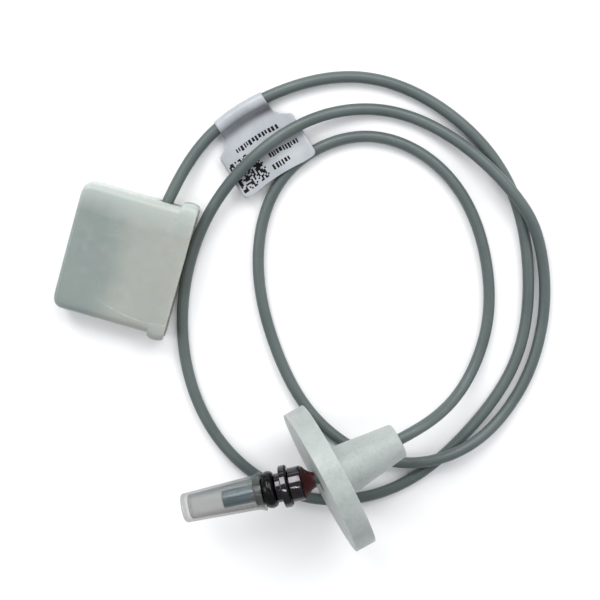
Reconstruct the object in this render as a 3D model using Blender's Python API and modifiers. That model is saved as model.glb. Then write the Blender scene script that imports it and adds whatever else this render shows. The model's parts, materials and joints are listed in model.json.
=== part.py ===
"""Flame sensor probe on a grey lead, with its flange, flag label and covered plug.

Metres, +Z up. The set lies on the plane z = 0 as it would on a bench: the flange stands
on its rim, leaning a little towards its boss, and the lead lies in loose loops.
The origin is on that plane, under the middle of the probe and flange together, and +X
points from the probe's tip towards the flange's boss.
"""

import math

import bmesh
import bpy
import numpy as np
from mathutils import Matrix, Vector

MM = 0.001
GAP = 0.3 * MM  # kept between pieces that touch

# ---- lead -------------------------------------------------------------------------------
LEAD_RADIUS = 2.0 * MM
CORE_RADIUS = 0.35 * MM
LEAD_POINTS = 80
LEAD_LIFT = 0.05 * MM  # its lowest, above the surface that it lies on

# The free lead from the flange's boss to the plug, after its first point, which is the
# boss's end. Chosen by hand, in millimetres: one loop, a wider one, then a third.
LEAD_ROUTE = [
    (47.0, 17.2, 16.2), (59.4, 26.9, 6.1), (66.4, 41.0, 2.1), (67.0, 72.3, 2.1),
    (53.3, 100.9, 2.1), (25.4, 114.4, 2.1), (-2.7, 101.4, 2.1), (-12.4, 71.6, 2.1),
    (-6.4, 40.3, 2.1), (9.6, 12.9, 2.1), (37.6, -1.2, 3.0), (50.4, 0.8, 6.6),
    (63.4, 6.6, 6.0), (74.2, 16.0, 2.9), (87.6, 49.6, 2.1), (86.0, 75.0, 3.6),
    (81.6, 86.4, 6.1), (74.0, 96.8, 6.7), (61.6, 108.8, 4.8), (31.5, 123.2, 2.1),
    (8.0, 120.9, 5.2), (-14.8, 106.4, 6.9), (-28.9, 88.5, 4.9), (-38.4, 60.3, 2.1),
    (-36.7, 28.6, 2.1), (-21.6, 0.8, 2.1), (6.0, -14.7, 2.1), (37.1, -10.3, 2.1),
    (61.8, 9.8, 2.1), (78.6, 36.4, 2.1), (82.0, 67.9, 2.1), (74.1, 98.7, 2.1),
    (52.9, 122.5, 2.1), (23.6, 134.4, 2.1), (-7.4, 128.6, 2.7), (-30.4, 113.0, 3.0),
]  # fmt: skip

# ---- flange -----------------------------------------------------------------------------
FLANGE_RADIUS = 26.0 * MM
FLANGE_THICKNESS = 7.2 * MM
FLANGE_EDGE = 0.4 * MM
BOSS_LENGTH = 23.5 * MM
BOSS_BASE_RADIUS = 9.0 * MM
BOSS_END_RADIUS = 6.1 * MM
BORE_CLEARANCE = 0.6 * MM
BORE_MOUTH_CLEARANCE = 2.2 * MM
BORE_TAPER = 10.0 * MM
FLANGE_AT = (12.0 * MM, 0.0)
FLANGE_YAW = math.radians(26.5)
FLANGE_LEAN = math.radians(10.6)

# ---- probe: lengths along its axis, forward from the rear face of its rear sleeve --------
PROBE_YAW = math.radians(13.3)
PROBE_PITCH = math.radians(2.0)
PROBE_STANDOFF = 4.9 * MM
PROBE_ASIDE = 2.6 * MM
PROBE_BELOW = 1.3 * MM
REAR_SLEEVE_RADIUS = 5.9 * MM
REAR_SLEEVE_LENGTH = 4.3 * MM
REAR_WALL = 0.9 * MM
SPIGOT_RADIUS = 4.6 * MM
COLLAR_RADIUS = 7.25 * MM
COLLAR_THICKNESS = 2.9 * MM
COLLAR_EDGE = 0.5 * MM
NECK_RADIUS = 5.0 * MM
NECK_LENGTH = 2.0 * MM
RING_WIDTH = 4.0 * MM
RING_HEIGHT = 2.6 * MM
RING_RADIUS = 6.4 * MM
RING_SIDES = 10
FRONT_COLLAR_WALL = 1.5 * MM
FRONT_COLLAR_LENGTH = 2.9 * MM
BODY_CAVITY_RADIUS = 3.5 * MM
BODY_BORE_RADIUS = 2.1 * MM
SENSOR_TUBE_RADIUS = 2.95 * MM
SENSOR_TUBE_WALL = 0.6 * MM
SENSOR_TUBE_REACH = 11.2 * MM
SOCKET_FLOOR = 0.8 * MM
WINDOW_THICKNESS = 1.0 * MM
CELL_LENGTH = 3.6 * MM
CELL_FOOT_LENGTH = 0.6 * MM
CELL_FOOT_STEP = 0.3 * MM
CELL_PIN_RADIUS = 0.25 * MM
CELL_PIN_SPACING = 2.0 * MM
BOARD_SETBACK = 1.6 * MM
BOARD_LENGTH = 3.4 * MM
BOARD_WIDTH = 5.0 * MM
BOARD_THICKNESS = 0.8 * MM
CHIP_SIZE = (1.5 * MM, 1.8 * MM, 0.8 * MM)
CORE_ON_BOARD = 1.4 * MM
SEAL_LENGTH = 3.9 * MM
SEAL_LIP = 0.5 * MM
SEAL_HOLLOW = 1.7  # 1 would be a straight cone

# ---- clear cap over the sensor's tip ------------------------------------------------------
CAP_LENGTH = 28.2 * MM
CAP_WALL = 0.8 * MM
CAP_END_THICKNESS = 2.4 * MM
CAP_END_RADIUS = 5.0 * MM
CAP_CLEARANCE = 0.3 * MM
CAP_FLARE_LENGTH = 3.6 * MM
CAP_FLARE = 1.0 * MM
CAP_CORNER = 1.2 * MM

# ---- plug and its slip-on cover, in the plug's own frame: +X out of the cover's mouth -----
PLUG_AT = (-60.9 * MM, 73.7 * MM)
PLUG_YAW = math.radians(-16.2)
COVER_LENGTH = 34.0 * MM
COVER_WIDTH = 45.0 * MM
COVER_HEIGHT = 12.5 * MM
COVER_WALL = 1.2 * MM
COVER_CORNER = 3.4 * MM
COVER_EDGE = 1.3 * MM
RIM_LENGTH = 6.0 * MM
RIM_OVERHANG = 2.0 * MM
PLUG_CLEARANCE = 0.5 * MM
HOUSING_LENGTH = 22.5 * MM
HOUSING_WALL = 1.4 * MM
HOUSING_INSET = 0.8 * MM
HOUSING_BLOCK_END = 6.0 * MM
LEAD_ENTRY = 11.5 * MM
LEAD_APPROACH = (1.6 * MM, 9.0 * MM, -1.2 * MM)  # from where it enters the plug
SLOT_CLEARANCE = 0.6 * MM
SLOT_BELOW = 1.2 * MM
CONTACT_COUNT = 5
CONTACT_PITCH = 6.0 * MM
CONTACT_RADIUS = 0.9 * MM
CONTACT_REACH = 7.0 * MM
CONTACT_TAIL = 2.2 * MM
BLOCK_MARGIN = 2.6 * MM
BLOCK_REACH = 2.0 * MM
BLOCK_LENGTH = 7.2 * MM
BLOCK_HEIGHT = 5.4 * MM
TAIL_LENGTH = 9.5 * MM
TAIL_CORE_SPACING = 1.6 * MM
CORE_STRAIGHT = 1.5 * MM
CLAMP_SIZE = (8.4 * MM, 3.2 * MM, 5.6 * MM)
SCREW_RADIUS = 1.1 * MM
SCREW_HEAD_RADIUS = 2.0 * MM
SCREW_HEAD_HEIGHT = 1.3 * MM
SCREW_FROM_MIDDLE = 14.0 * MM

# ---- flag label ---------------------------------------------------------------------------
LABEL_FROM_PLUG = 42.0 * MM
LABEL_FILM = 0.16 * MM
LABEL_LAYER_GAP = 0.36 * MM
LABEL_NECK_WIDTH = 19.0 * MM
LABEL_FLAG_WIDTH = 29.4 * MM
LABEL_REACH = 25.5 * MM
LABEL_SHOULDER = (3.6 * MM, 9.2 * MM)
LABEL_CORNER = 1.6 * MM
LABEL_RISE = 2.3 * MM
LABEL_SAG = 0.75 * MM
LABEL_OFF_LEAD = 0.8 * MM
LABEL_COLUMNS = 5

MATERIALS = {
    "flange_plastic": ((0.80, 0.83, 0.80), 0.0, 0.45),
    "cap_clear": ((0.80, 0.82, 0.84), 0.0, 0.12),
    "cover_plastic": ((0.72, 0.76, 0.73), 0.0, 0.40),
    "black_nickel": ((0.10, 0.09, 0.11), 1.0, 0.12),
    "filter_glass": ((0.03, 0.06, 0.09), 0.0, 0.08),
    "black_rubber": ((0.01, 0.01, 0.01), 0.0, 0.35),
    "seal_maroon": ((0.12, 0.01, 0.015), 0.0, 0.45),
    "lead_jacket": ((0.24, 0.27, 0.265), 0.0, 0.42),
    "core_insulation": ((0.55, 0.08, 0.06), 0.0, 0.45),
    "label_film": ((0.86, 0.86, 0.89), 0.0, 0.35),
    "housing_plastic": ((0.62, 0.58, 0.50), 0.0, 0.45),
    "contact_brass": ((0.80, 0.62, 0.28), 1.0, 0.25),
    "cell_metal": ((0.62, 0.62, 0.64), 1.0, 0.28),
    "board_green": ((0.04, 0.22, 0.10), 0.0, 0.50),
    "chip_black": ((0.02, 0.02, 0.02), 0.0, 0.40),
    "screw_steel": ((0.55, 0.55, 0.57), 1.0, 0.30),
}


def clear_scene():
    for thing in list(bpy.data.objects):
        bpy.data.objects.remove(thing)


def make_collections():
    made = []
    for name in ("flame_sensor_probe", "cutters"):
        collection = bpy.data.collections.new(name)
        bpy.context.scene.collection.children.link(collection)
        made.append(collection)
    return made


def make_material(slot):
    colour, metallic, roughness = MATERIALS[slot]
    material = bpy.data.materials.new(slot)
    material.use_nodes = True
    shader = material.node_tree.nodes["Principled BSDF"]
    shader.inputs["Base Color"].default_value = (*colour, 1.0)
    shader.inputs["Metallic"].default_value = metallic
    shader.inputs["Roughness"].default_value = roughness
    material.diffuse_color = (*colour, 1.0)
    return material


def frame_at(origin, z_axis, x_axis):
    """A placement whose local Z is z_axis and whose local X is x_axis."""
    z = Vector(z_axis).normalized()
    x = Vector(x_axis).normalized()
    turn = Matrix((x, z.cross(x), z)).transposed().to_4x4()
    return Matrix.Translation(origin) @ turn


def make_frame(name, matrix):
    empty = bpy.data.objects.new(name, None)
    PART.objects.link(empty)
    empty.matrix_world = matrix
    return empty


def add_object(name, data, slot=None, parent=None):
    """Links a piece, or a cutter when it has no material slot."""
    thing = bpy.data.objects.new(name, data)
    (PART if slot else CUTTERS).objects.link(thing)
    thing.parent = parent
    if slot:
        data.materials.append(make_material(slot))
    else:
        thing.hide_render = True
        thing.display_type = "WIRE"
    return thing


def turned(name, outline, slot=None, parent=None, steps=32, closed=False, place=None):
    """Spins an outline of (radius, height) points, given down its outer side, about Z."""
    mesh = bpy.data.meshes.new(name)
    edges = [(i, i + 1) for i in range(len(outline) - 1)]
    if closed:
        edges.append((len(outline) - 1, 0))
    mesh.from_pydata([(r, 0.0, z) for r, z in outline], edges, [])
    thing = add_object(name, mesh, slot, parent)
    if place:
        thing.matrix_local = place
    screw = thing.modifiers.new("spin", "SCREW")
    screw.steps = steps
    screw.render_steps = steps
    screw.use_merge_vertices = True
    screw.merge_threshold = 0.00001
    screw.use_smooth_shade = True
    return thing


def block(name, low, high, slot=None, parent=None, edge=0.0):
    """A box between two corners, with its edges rounded by edge."""
    low, high = Vector(low), Vector(high)
    mesh = bpy.data.meshes.new(name)
    shape = bmesh.new()
    bmesh.ops.create_cube(shape, size=1.0)
    size = Matrix.Diagonal((*(high - low), 1.0))
    bmesh.ops.transform(shape, matrix=Matrix.Translation((low + high) / 2) @ size, verts=shape.verts)
    shape.to_mesh(mesh)
    shape.free()
    thing = add_object(name, mesh, slot, parent)
    if edge:
        add_bevel(thing, edge, 2)
    return thing


def add_bevel(thing, width, segments):
    bevel = thing.modifiers.new("edges", "BEVEL")
    bevel.width = width
    bevel.segments = segments
    bevel.limit_method = "ANGLE"
    bevel.angle_limit = math.radians(40)


def cut(thing, cutter):
    boolean = thing.modifiers.new("cut", "BOOLEAN")
    boolean.operation = "DIFFERENCE"
    boolean.solver = "EXACT"
    boolean.object = cutter


def tube(name, line, radius, slot, parent=None, roundness=2):
    curve = bpy.data.curves.new(name, "CURVE")
    curve.dimensions = "3D"
    curve.bevel_depth = radius
    curve.bevel_resolution = roundness
    curve.use_fill_caps = True
    spline = curve.splines.new("POLY")
    spline.points.add(len(line) - 1)
    for point, place in zip(spline.points, line):
        point.co = (*place, 1.0)
    return add_object(name, curve, slot, parent)


def smooth_line(knots, count):
    """count points, evenly spaced, on the natural cubic spline through the knots."""
    knots = np.array(knots, float)
    chord = np.linalg.norm(np.diff(knots, axis=0), axis=1)
    at = np.concatenate([[0.0], np.cumsum(chord)])
    last = len(knots) - 1
    system = np.eye(last + 1)
    pull = np.zeros_like(knots)
    for i in range(1, last):
        system[i, i - 1 : i + 2] = chord[i - 1], 2 * (chord[i - 1] + chord[i]), chord[i]
        slopes = (knots[i + 1] - knots[i]) / chord[i] - (knots[i] - knots[i - 1]) / chord[i - 1]
        pull[i] = 6 * slopes
    bend = np.linalg.solve(system, pull)
    fine = np.linspace(0.0, at[-1], 4000)
    span = np.clip(np.searchsorted(at, fine, side="right") - 1, 0, last - 1)
    left = (fine - at[span])[:, None]
    right = (at[span + 1] - fine)[:, None]
    width = chord[span][:, None]
    dense = (
        (bend[span] * right**3 + bend[span + 1] * left**3) / (6 * width)
        + (knots[span] / width - bend[span] * width / 6) * right
        + (knots[span + 1] / width - bend[span + 1] * width / 6) * left
    )
    run = np.concatenate([[0.0], np.cumsum(np.linalg.norm(np.diff(dense, axis=0), axis=1))])
    wanted = np.linspace(0.0, run[-1], count)
    return np.array([np.interp(wanted, run, dense[:, k]) for k in range(3)]).T


def arc(centre, radius, start, stop, count):
    """count + 1 points on an arc, angles in degrees."""
    angles = [math.radians(start + (stop - start) * i / count) for i in range(count + 1)]
    return [
        (centre[0] + radius * math.cos(a), centre[1] + radius * math.sin(a)) for a in angles
    ]


# ---- where things are ---------------------------------------------------------------------
def direction(yaw, rise):
    """The way that is turned by yaw from +X and then raised."""
    level = math.cos(rise)
    return Vector((math.cos(yaw) * level, math.sin(yaw) * level, math.sin(rise)))


def flange_matrix():
    """The flange's middle, its local Z towards the boss and its local X level."""
    towards = direction(FLANGE_YAW, -FLANGE_LEAN)
    height = FLANGE_RADIUS * math.cos(FLANGE_LEAN)
    height += (FLANGE_THICKNESS / 2 - FLANGE_EDGE) * math.sin(FLANGE_LEAN)
    level = Vector((-math.sin(FLANGE_YAW), math.cos(FLANGE_YAW), 0.0))
    return frame_at((*FLANGE_AT, height), towards, level)


def probe_matrix(flange):
    """The middle of the probe's rear face, its local Z towards the tip."""
    rear = flange @ Vector((PROBE_ASIDE, -PROBE_BELOW, -FLANGE_THICKNESS / 2 - PROBE_STANDOFF))
    forward = -direction(PROBE_YAW, PROBE_PITCH)
    level = Vector((-math.sin(PROBE_YAW), math.cos(PROBE_YAW), 0.0))
    return frame_at(rear, forward, level)


def plug_matrix():
    return Matrix.Translation((*PLUG_AT, 0.0)) @ Matrix.Rotation(PLUG_YAW, 4, "Z")


# ---- flange ---------------------------------------------------------------------------------
def make_flange(place):
    """One turned piece: a disc and a tapering boss, bored for the lead."""
    half = FLANGE_THICKNESS / 2
    bore = LEAD_RADIUS + BORE_CLEARANCE
    outline = [
        (BOSS_END_RADIUS - FLANGE_EDGE, half + BOSS_LENGTH),
        (BOSS_END_RADIUS, half + BOSS_LENGTH - FLANGE_EDGE),
        (BOSS_BASE_RADIUS, half),
        (FLANGE_RADIUS - FLANGE_EDGE, half),
        (FLANGE_RADIUS, half - FLANGE_EDGE),
        (FLANGE_RADIUS, -half + FLANGE_EDGE),
        (FLANGE_RADIUS - FLANGE_EDGE, -half),
        (LEAD_RADIUS + BORE_MOUTH_CLEARANCE, -half),
        (bore, -half + BORE_TAPER),
        (bore, half + BOSS_LENGTH),
    ]
    turned("flange", outline, "flange_plastic", place, steps=48, closed=True)


# ---- probe ----------------------------------------------------------------------------------
COLLAR_AT = REAR_SLEEVE_LENGTH
NECK_AT = COLLAR_AT + COLLAR_THICKNESS
GROOVE_AT = NECK_AT + NECK_LENGTH
FRONT_COLLAR_AT = GROOVE_AT + RING_WIDTH + 2 * GAP
BODY_FRONT = FRONT_COLLAR_AT + FRONT_COLLAR_LENGTH
TUBE_REAR = FRONT_COLLAR_AT + SOCKET_FLOOR + GAP
TUBE_FRONT = BODY_FRONT + SENSOR_TUBE_REACH
SPIGOT_REAR = REAR_WALL + GAP
BODY_LEAD_END = REAR_WALL / 2
BOARD_REAR = SPIGOT_REAR + BOARD_SETBACK
RING_MIDDLE = GROOVE_AT + GAP + RING_WIDTH / 2
RING_HOLE_RADIUS = RING_RADIUS - RING_HEIGHT
FRONT_COLLAR_RADIUS = SENSOR_TUBE_RADIUS + GAP + FRONT_COLLAR_WALL


def make_probe_body(place):
    """Front collar, seal groove, neck, wide collar and rear spigot in one turned piece."""
    groove = RING_HOLE_RADIUS - GAP
    edge = COLLAR_EDGE
    outline = [
        (FRONT_COLLAR_RADIUS - edge / 2, BODY_FRONT),
        (FRONT_COLLAR_RADIUS, BODY_FRONT - edge / 2),
        (FRONT_COLLAR_RADIUS, FRONT_COLLAR_AT),
        (groove, FRONT_COLLAR_AT),
        (groove, GROOVE_AT),
        (NECK_RADIUS, GROOVE_AT),
        (NECK_RADIUS, NECK_AT),
        (COLLAR_RADIUS - edge, NECK_AT),
        (COLLAR_RADIUS, NECK_AT - edge),
        (COLLAR_RADIUS, COLLAR_AT + GAP + edge),
        (COLLAR_RADIUS - edge, COLLAR_AT + GAP),
        (SPIGOT_RADIUS, COLLAR_AT + GAP),
        (SPIGOT_RADIUS, SPIGOT_REAR),
        (BODY_CAVITY_RADIUS, SPIGOT_REAR),
        (BODY_CAVITY_RADIUS, NECK_AT),
        (BODY_BORE_RADIUS, NECK_AT),
        (BODY_BORE_RADIUS, TUBE_REAR - GAP),
        (SENSOR_TUBE_RADIUS + GAP, TUBE_REAR - GAP),
        (SENSOR_TUBE_RADIUS + GAP, BODY_FRONT),
    ]
    turned("probe_body", outline, "black_nickel", place, closed=True)


def make_rear_sleeve(place):
    """The sleeve screwed on the body's spigot, with a wall that the lead passes through."""
    hole = LEAD_RADIUS + GAP
    edge = COLLAR_EDGE / 2
    outline = [
        (REAR_SLEEVE_RADIUS, REAR_SLEEVE_LENGTH),
        (REAR_SLEEVE_RADIUS, edge),
        (REAR_SLEEVE_RADIUS - edge, 0.0),
        (hole, 0.0),
        (hole, REAR_WALL),
        (SPIGOT_RADIUS + GAP, REAR_WALL),
        (SPIGOT_RADIUS + GAP, REAR_SLEEVE_LENGTH),
    ]
    turned("rear_sleeve", outline, "black_nickel", place, closed=True)


def make_sealing_ring(place):
    """A fat rubber ring of oval section in the body's groove."""
    middle = RING_HOLE_RADIUS + RING_HEIGHT / 2
    outline = []
    for i in range(RING_SIDES):
        angle = 2 * math.pi * i / RING_SIDES
        across = middle + RING_HEIGHT / 2 * math.cos(angle)
        along = RING_MIDDLE - RING_WIDTH / 2 * math.sin(angle)
        outline.append((across, along))
    turned("sealing_ring", outline, "black_rubber", place, closed=True)


def make_rear_seal(place):
    """The maroon seal that draws in, hollow-sided, from the sleeve to the lead."""
    hole = LEAD_RADIUS + GAP
    base = REAR_SLEEVE_RADIUS - COLLAR_EDGE / 2
    tip = hole + SEAL_LIP
    outline = [(base, -GAP)]
    for i in range(1, 6):
        down = i / 5
        radius = tip + (base - tip) * (1 - down) ** SEAL_HOLLOW
        outline.append((radius, -GAP - SEAL_LENGTH * down))
    outline += [(hole, -GAP - SEAL_LENGTH), (hole, -GAP)]
    turned("rear_seal", outline, "seal_maroon", place, closed=True)


def make_sensor(place):
    """The dark sensor tube with its window, cell and the cell's two pins."""
    inside = SENSOR_TUBE_RADIUS - SENSOR_TUBE_WALL
    outline = [
        (SENSOR_TUBE_RADIUS, TUBE_FRONT),
        (SENSOR_TUBE_RADIUS, TUBE_REAR),
        (inside, TUBE_REAR),
        (inside, TUBE_FRONT),
    ]
    turned("sensor_tube", outline, "filter_glass", place, steps=28, closed=True)
    fitted = inside - GAP
    window = [
        (0.0, TUBE_FRONT),
        (fitted, TUBE_FRONT),
        (fitted, TUBE_FRONT - WINDOW_THICKNESS),
        (0.0, TUBE_FRONT - WINDOW_THICKNESS),
    ]
    turned("front_window", window, "filter_glass", place, steps=24)
    cell_front = TUBE_FRONT - WINDOW_THICKNESS - GAP
    cell_rear = cell_front - CELL_LENGTH
    cell = [
        (0.0, cell_front),
        (fitted - CELL_FOOT_STEP, cell_front),
        (fitted - CELL_FOOT_STEP, cell_rear + CELL_FOOT_LENGTH),
        (fitted, cell_rear + CELL_FOOT_LENGTH),
        (fitted, cell_rear),
        (0.0, cell_rear),
    ]
    turned("photo_cell", cell, "cell_metal", place, steps=24)
    pin_rear = BOARD_REAR + BOARD_LENGTH + GAP
    for number, side in ((1, -1), (2, 1)):
        shift = Matrix.Translation((0.0, side * CELL_PIN_SPACING / 2, 0.0))
        pin = [
            (0.0, cell_rear - GAP),
            (CELL_PIN_RADIUS, cell_rear - GAP),
            (CELL_PIN_RADIUS, pin_rear),
            (0.0, pin_rear),
        ]
        turned(f"cell_pin_{number}", pin, "cell_metal", place, steps=10, place=shift)


def make_board(place):
    """The little amplifier board in the body's cavity, and the lead's two cores on it."""
    half = BOARD_THICKNESS / 2
    low = (-half, -BOARD_WIDTH / 2, BOARD_REAR)
    high = (half, BOARD_WIDTH / 2, BOARD_REAR + BOARD_LENGTH)
    block("circuit_board", low, high, "board_green", place)
    long, wide, tall = CHIP_SIZE
    front = BOARD_REAR + BOARD_LENGTH - GAP
    low = (half + GAP, -wide / 2, front - long)
    block("board_chip", low, (half + GAP + tall, wide / 2, front), "chip_black", place)
    core_height = -half - GAP / 2 - CORE_RADIUS
    for number, side in ((1, -1), (2, 1)):
        beside = side * CELL_PIN_SPACING / 2
        ends = (BODY_LEAD_END + GAP, BOARD_REAR + CORE_ON_BOARD)
        line = [(core_height, beside, z) for z in ends]
        tube(f"body_core_{number}", line, CORE_RADIUS, "core_insulation", place, roundness=1)


def make_tip_cap(place):
    """A clear moulded cap: closed thick end, slight taper and a flared mouth."""
    mouth = RING_MIDDLE + RING_WIDTH / 2 + GAP
    end = mouth + CAP_LENGTH
    flare = mouth + CAP_FLARE_LENGTH
    inner = FRONT_COLLAR_RADIUS + CAP_CLEARANCE
    outer = inner + CAP_WALL
    end_inner = CAP_END_RADIUS - CAP_WALL
    corner = arc((CAP_END_RADIUS - CAP_CORNER, end - CAP_CORNER), CAP_CORNER, 90, 0, 4)
    flared = [
        (outer + CAP_FLARE * (1 - k / 4) ** 2, flare - CAP_FLARE_LENGTH * (1 - k / 4))
        for k in range(4, -1, -1)
    ]
    outline = [(0.0, end), *corner, *flared]
    outline += [(radius - CAP_WALL, height) for radius, height in reversed(flared)]
    outline += [(end_inner, end - CAP_END_THICKNESS), (0.0, end - CAP_END_THICKNESS)]
    turned("tip_cap", outline, "cap_clear", place)


# ---- lead ------------------------------------------------------------------------------------
def make_body_lead(flange, probe):
    """The lead from the probe's rear wall through the seal and the flange's bore."""
    face = -FLANGE_THICKNESS / 2
    end = FLANGE_THICKNESS / 2 + BOSS_LENGTH - GAP
    aside = BORE_MOUTH_CLEARANCE - 2 * GAP
    knots = [
        probe @ Vector((0.0, 0.0, BODY_LEAD_END)),
        probe @ Vector((0.0, 0.0, -GAP - SEAL_LENGTH * 0.8)),
        flange @ Vector((aside, -0.4 * aside, face)),
        flange @ Vector((aside / 3, -0.13 * aside, face + BORE_TAPER * 0.55)),
        flange @ Vector((0.0, 0.0, face + BORE_TAPER * 1.3)),
        flange @ Vector((0.0, 0.0, end)),
    ]
    tube("body_lead", smooth_line(knots, 14), LEAD_RADIUS, "lead_jacket")


def free_lead_line(flange, plug, count):
    """The free lead's centreline, from the boss's end to the plug's side."""
    start = flange @ Vector((0.0, 0.0, FLANGE_THICKNESS / 2 + BOSS_LENGTH + GAP))
    off = flange @ Vector((0.0, 0.0, FLANGE_THICKNESS / 2 + BOSS_LENGTH + 3 * LEAD_RADIUS / 2))
    entry = Vector((LEAD_ENTRY, HOUSING_SIDE + GAP, PLUG_MIDDLE))
    near = plug @ (entry + Vector(LEAD_APPROACH))
    end = plug @ entry
    lying = [Vector(p) * MM for p in LEAD_ROUTE]
    line = smooth_line([start, off, *lying, near, end], count)
    line[:, 2] = np.maximum(line[:, 2], LEAD_RADIUS + LEAD_LIFT)
    return line


def label_half_width(reach):
    """Half the label's width at a distance from the lead: neck, hollow shoulder, flag."""
    neck, flag = LABEL_NECK_WIDTH / 2, LABEL_FLAG_WIDTH / 2
    start, stop = LABEL_SHOULDER
    share = min(max((reach - start) / (stop - start), 0.0), 1.0)
    width = neck + (flag - neck) * share**2.2
    into_corner = reach - (LABEL_REACH - LABEL_CORNER)
    if into_corner > 0:
        width -= LABEL_CORNER - math.sqrt(max(LABEL_CORNER**2 - into_corner**2, 0.0))
    return width


def label_path():
    """Across the lead: along the lower film, round the lead and back along the upper one.

    Each entry is (reach, height, reach that sets the width)."""
    around = LEAD_RADIUS + GAP + LABEL_FILM
    half_gap = LABEL_LAYER_GAP / 2
    start = math.degrees(math.asin(half_gap / around))
    open_angle = start + 8
    steps = 8
    first = around * math.cos(math.radians(start)) + LABEL_OFF_LEAD
    stops = [first + (LABEL_REACH - LABEL_CORNER - first) * k / steps for k in range(steps + 1)]
    stops += [LABEL_REACH - LABEL_CORNER * 0.4, LABEL_REACH]
    slope = LABEL_RISE / LABEL_REACH

    def lift(reach):
        share = reach / LABEL_REACH
        return slope * reach - LABEL_SAG * math.sin(math.pi * min(share, 1.0)) ** 2

    lower = [(reach, lift(reach) - half_gap, reach) for reach in reversed(stops)]
    upper = [(reach, lift(reach) + half_gap, reach) for reach in stops]
    wrap = [
        (x, y, 0.0) for x, y in arc((0.0, 0.0), around, -open_angle, open_angle - 352, 16)
    ]
    return lower + wrap + upper


def make_label(line):
    """A flag of film wrapped round the lead and stuck to itself."""
    run = np.concatenate([[0.0], np.cumsum(np.linalg.norm(np.diff(line, axis=0), axis=1))])
    middle = run[-1] - LABEL_FROM_PLUG

    def lead_at(distance):
        return Vector([float(np.interp(distance, run, line[:, k])) for k in range(3)])

    span = LABEL_NECK_WIDTH / 2
    along = lead_at(middle - span) - lead_at(middle + span)
    along.z = 0.0
    along.normalize()
    across = along.cross(Vector((0.0, 0.0, 1.0)))
    rows = label_path()
    mesh = bpy.data.meshes.new("flag_label")
    shape = bmesh.new()
    grid = []
    for reach, height, width_at in rows:
        half = label_half_width(max(width_at, 0.0))
        row = []
        for j in range(LABEL_COLUMNS):
            offset = half * (2 * j / (LABEL_COLUMNS - 1) - 1)
            held = min(max(offset, -span), span)
            middle_line = lead_at(middle - held)
            straight = middle_line + along * (offset - held)
            place = straight + across * reach + Vector((0.0, 0.0, height))
            row.append(shape.verts.new(place))
        grid.append(row)
    for one, two in zip(grid, grid[1:]):
        for j in range(LABEL_COLUMNS - 1):
            shape.faces.new((one[j], one[j + 1], two[j + 1], two[j]))
    shape.to_mesh(mesh)
    shape.free()
    thing = add_object("flag_label", mesh, "label_film")
    solid = thing.modifiers.new("film", "SOLIDIFY")
    solid.thickness = LABEL_FILM
    solid.offset = 0.0


# ---- plug ------------------------------------------------------------------------------------
HOUSING_BACK = COVER_LENGTH / 2 + RIM_LENGTH - HOUSING_INSET
HOUSING_FRONT = HOUSING_BACK - HOUSING_LENGTH
HOUSING_SIDE = COVER_WIDTH / 2 - COVER_WALL - PLUG_CLEARANCE
HOUSING_LOW = COVER_WALL + PLUG_CLEARANCE
HOUSING_HIGH = COVER_HEIGHT - COVER_WALL - PLUG_CLEARANCE
PLUG_MIDDLE = COVER_HEIGHT / 2
BLOCK_SIDE = CONTACT_PITCH * (CONTACT_COUNT - 1) / 2 + BLOCK_MARGIN
SCREW_AT = HOUSING_BACK - HOUSING_BLOCK_END / 2
OVER = 1.0 * MM  # how far a cutter runs past what it cuts


def cover_outline():
    """Half the cover's outline seen from above, from its closed end to its rim, on +Y."""
    end, side = -COVER_LENGTH / 2, COVER_WIDTH / 2
    rim_end, rim_side = COVER_LENGTH / 2 + RIM_LENGTH, COVER_WIDTH / 2 + RIM_OVERHANG
    corner = arc((end + COVER_CORNER, side - COVER_CORNER), COVER_CORNER, 180, 90, 4)
    step = arc((COVER_LENGTH / 2 + RIM_OVERHANG, side), RIM_OVERHANG, 180, 90, 3)
    lip = arc((rim_end - RIM_LENGTH / 2, rim_side - RIM_LENGTH / 2), RIM_LENGTH / 2, 90, 0, 4)
    return corner + step + lip


def make_cover(place):
    """A slip-on moulded cover, closed at one end, with a thicker rim round its mouth."""
    upper = cover_outline()
    outline = upper + [(x, -y) for x, y in reversed(upper)]
    mesh = bpy.data.meshes.new("plug_cover")
    shape = bmesh.new()
    ring = [shape.verts.new((x, y, 0.0)) for x, y in outline]
    base = shape.faces.new(ring)
    raised = bmesh.ops.extrude_face_region(shape, geom=[base])
    lifted = [v for v in raised["geom"] if isinstance(v, bmesh.types.BMVert)]
    bmesh.ops.translate(shape, vec=(0.0, 0.0, COVER_HEIGHT), verts=lifted)
    bmesh.ops.recalc_face_normals(shape, faces=shape.faces)
    shape.to_mesh(mesh)
    shape.free()
    cover = add_object("plug_cover", mesh, "cover_plastic", place)
    bevel = cover.modifiers.new("edges", "BEVEL")
    bevel.width = COVER_EDGE
    bevel.segments = 2
    bevel.limit_method = "ANGLE"
    bevel.angle_limit = math.radians(60)
    bevel.use_clamp_overlap = True
    mouth = COVER_LENGTH / 2 + RIM_LENGTH + OVER
    side = COVER_WIDTH / 2 - COVER_WALL
    low = (-COVER_LENGTH / 2 + COVER_WALL, -side, COVER_WALL)
    high = (mouth, side, COVER_HEIGHT - COVER_WALL)
    cut(cover, block("cover_hollow_cut", low, high, None, place))
    wide = LEAD_RADIUS + SLOT_CLEARANCE
    low = (LEAD_ENTRY - wide, side - OVER, PLUG_MIDDLE - LEAD_RADIUS - SLOT_BELOW)
    high = (mouth, COVER_WIDTH / 2 + RIM_OVERHANG + OVER, PLUG_MIDDLE + wide)
    cut(cover, block("cover_slot_cut", low, high, None, place))


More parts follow.
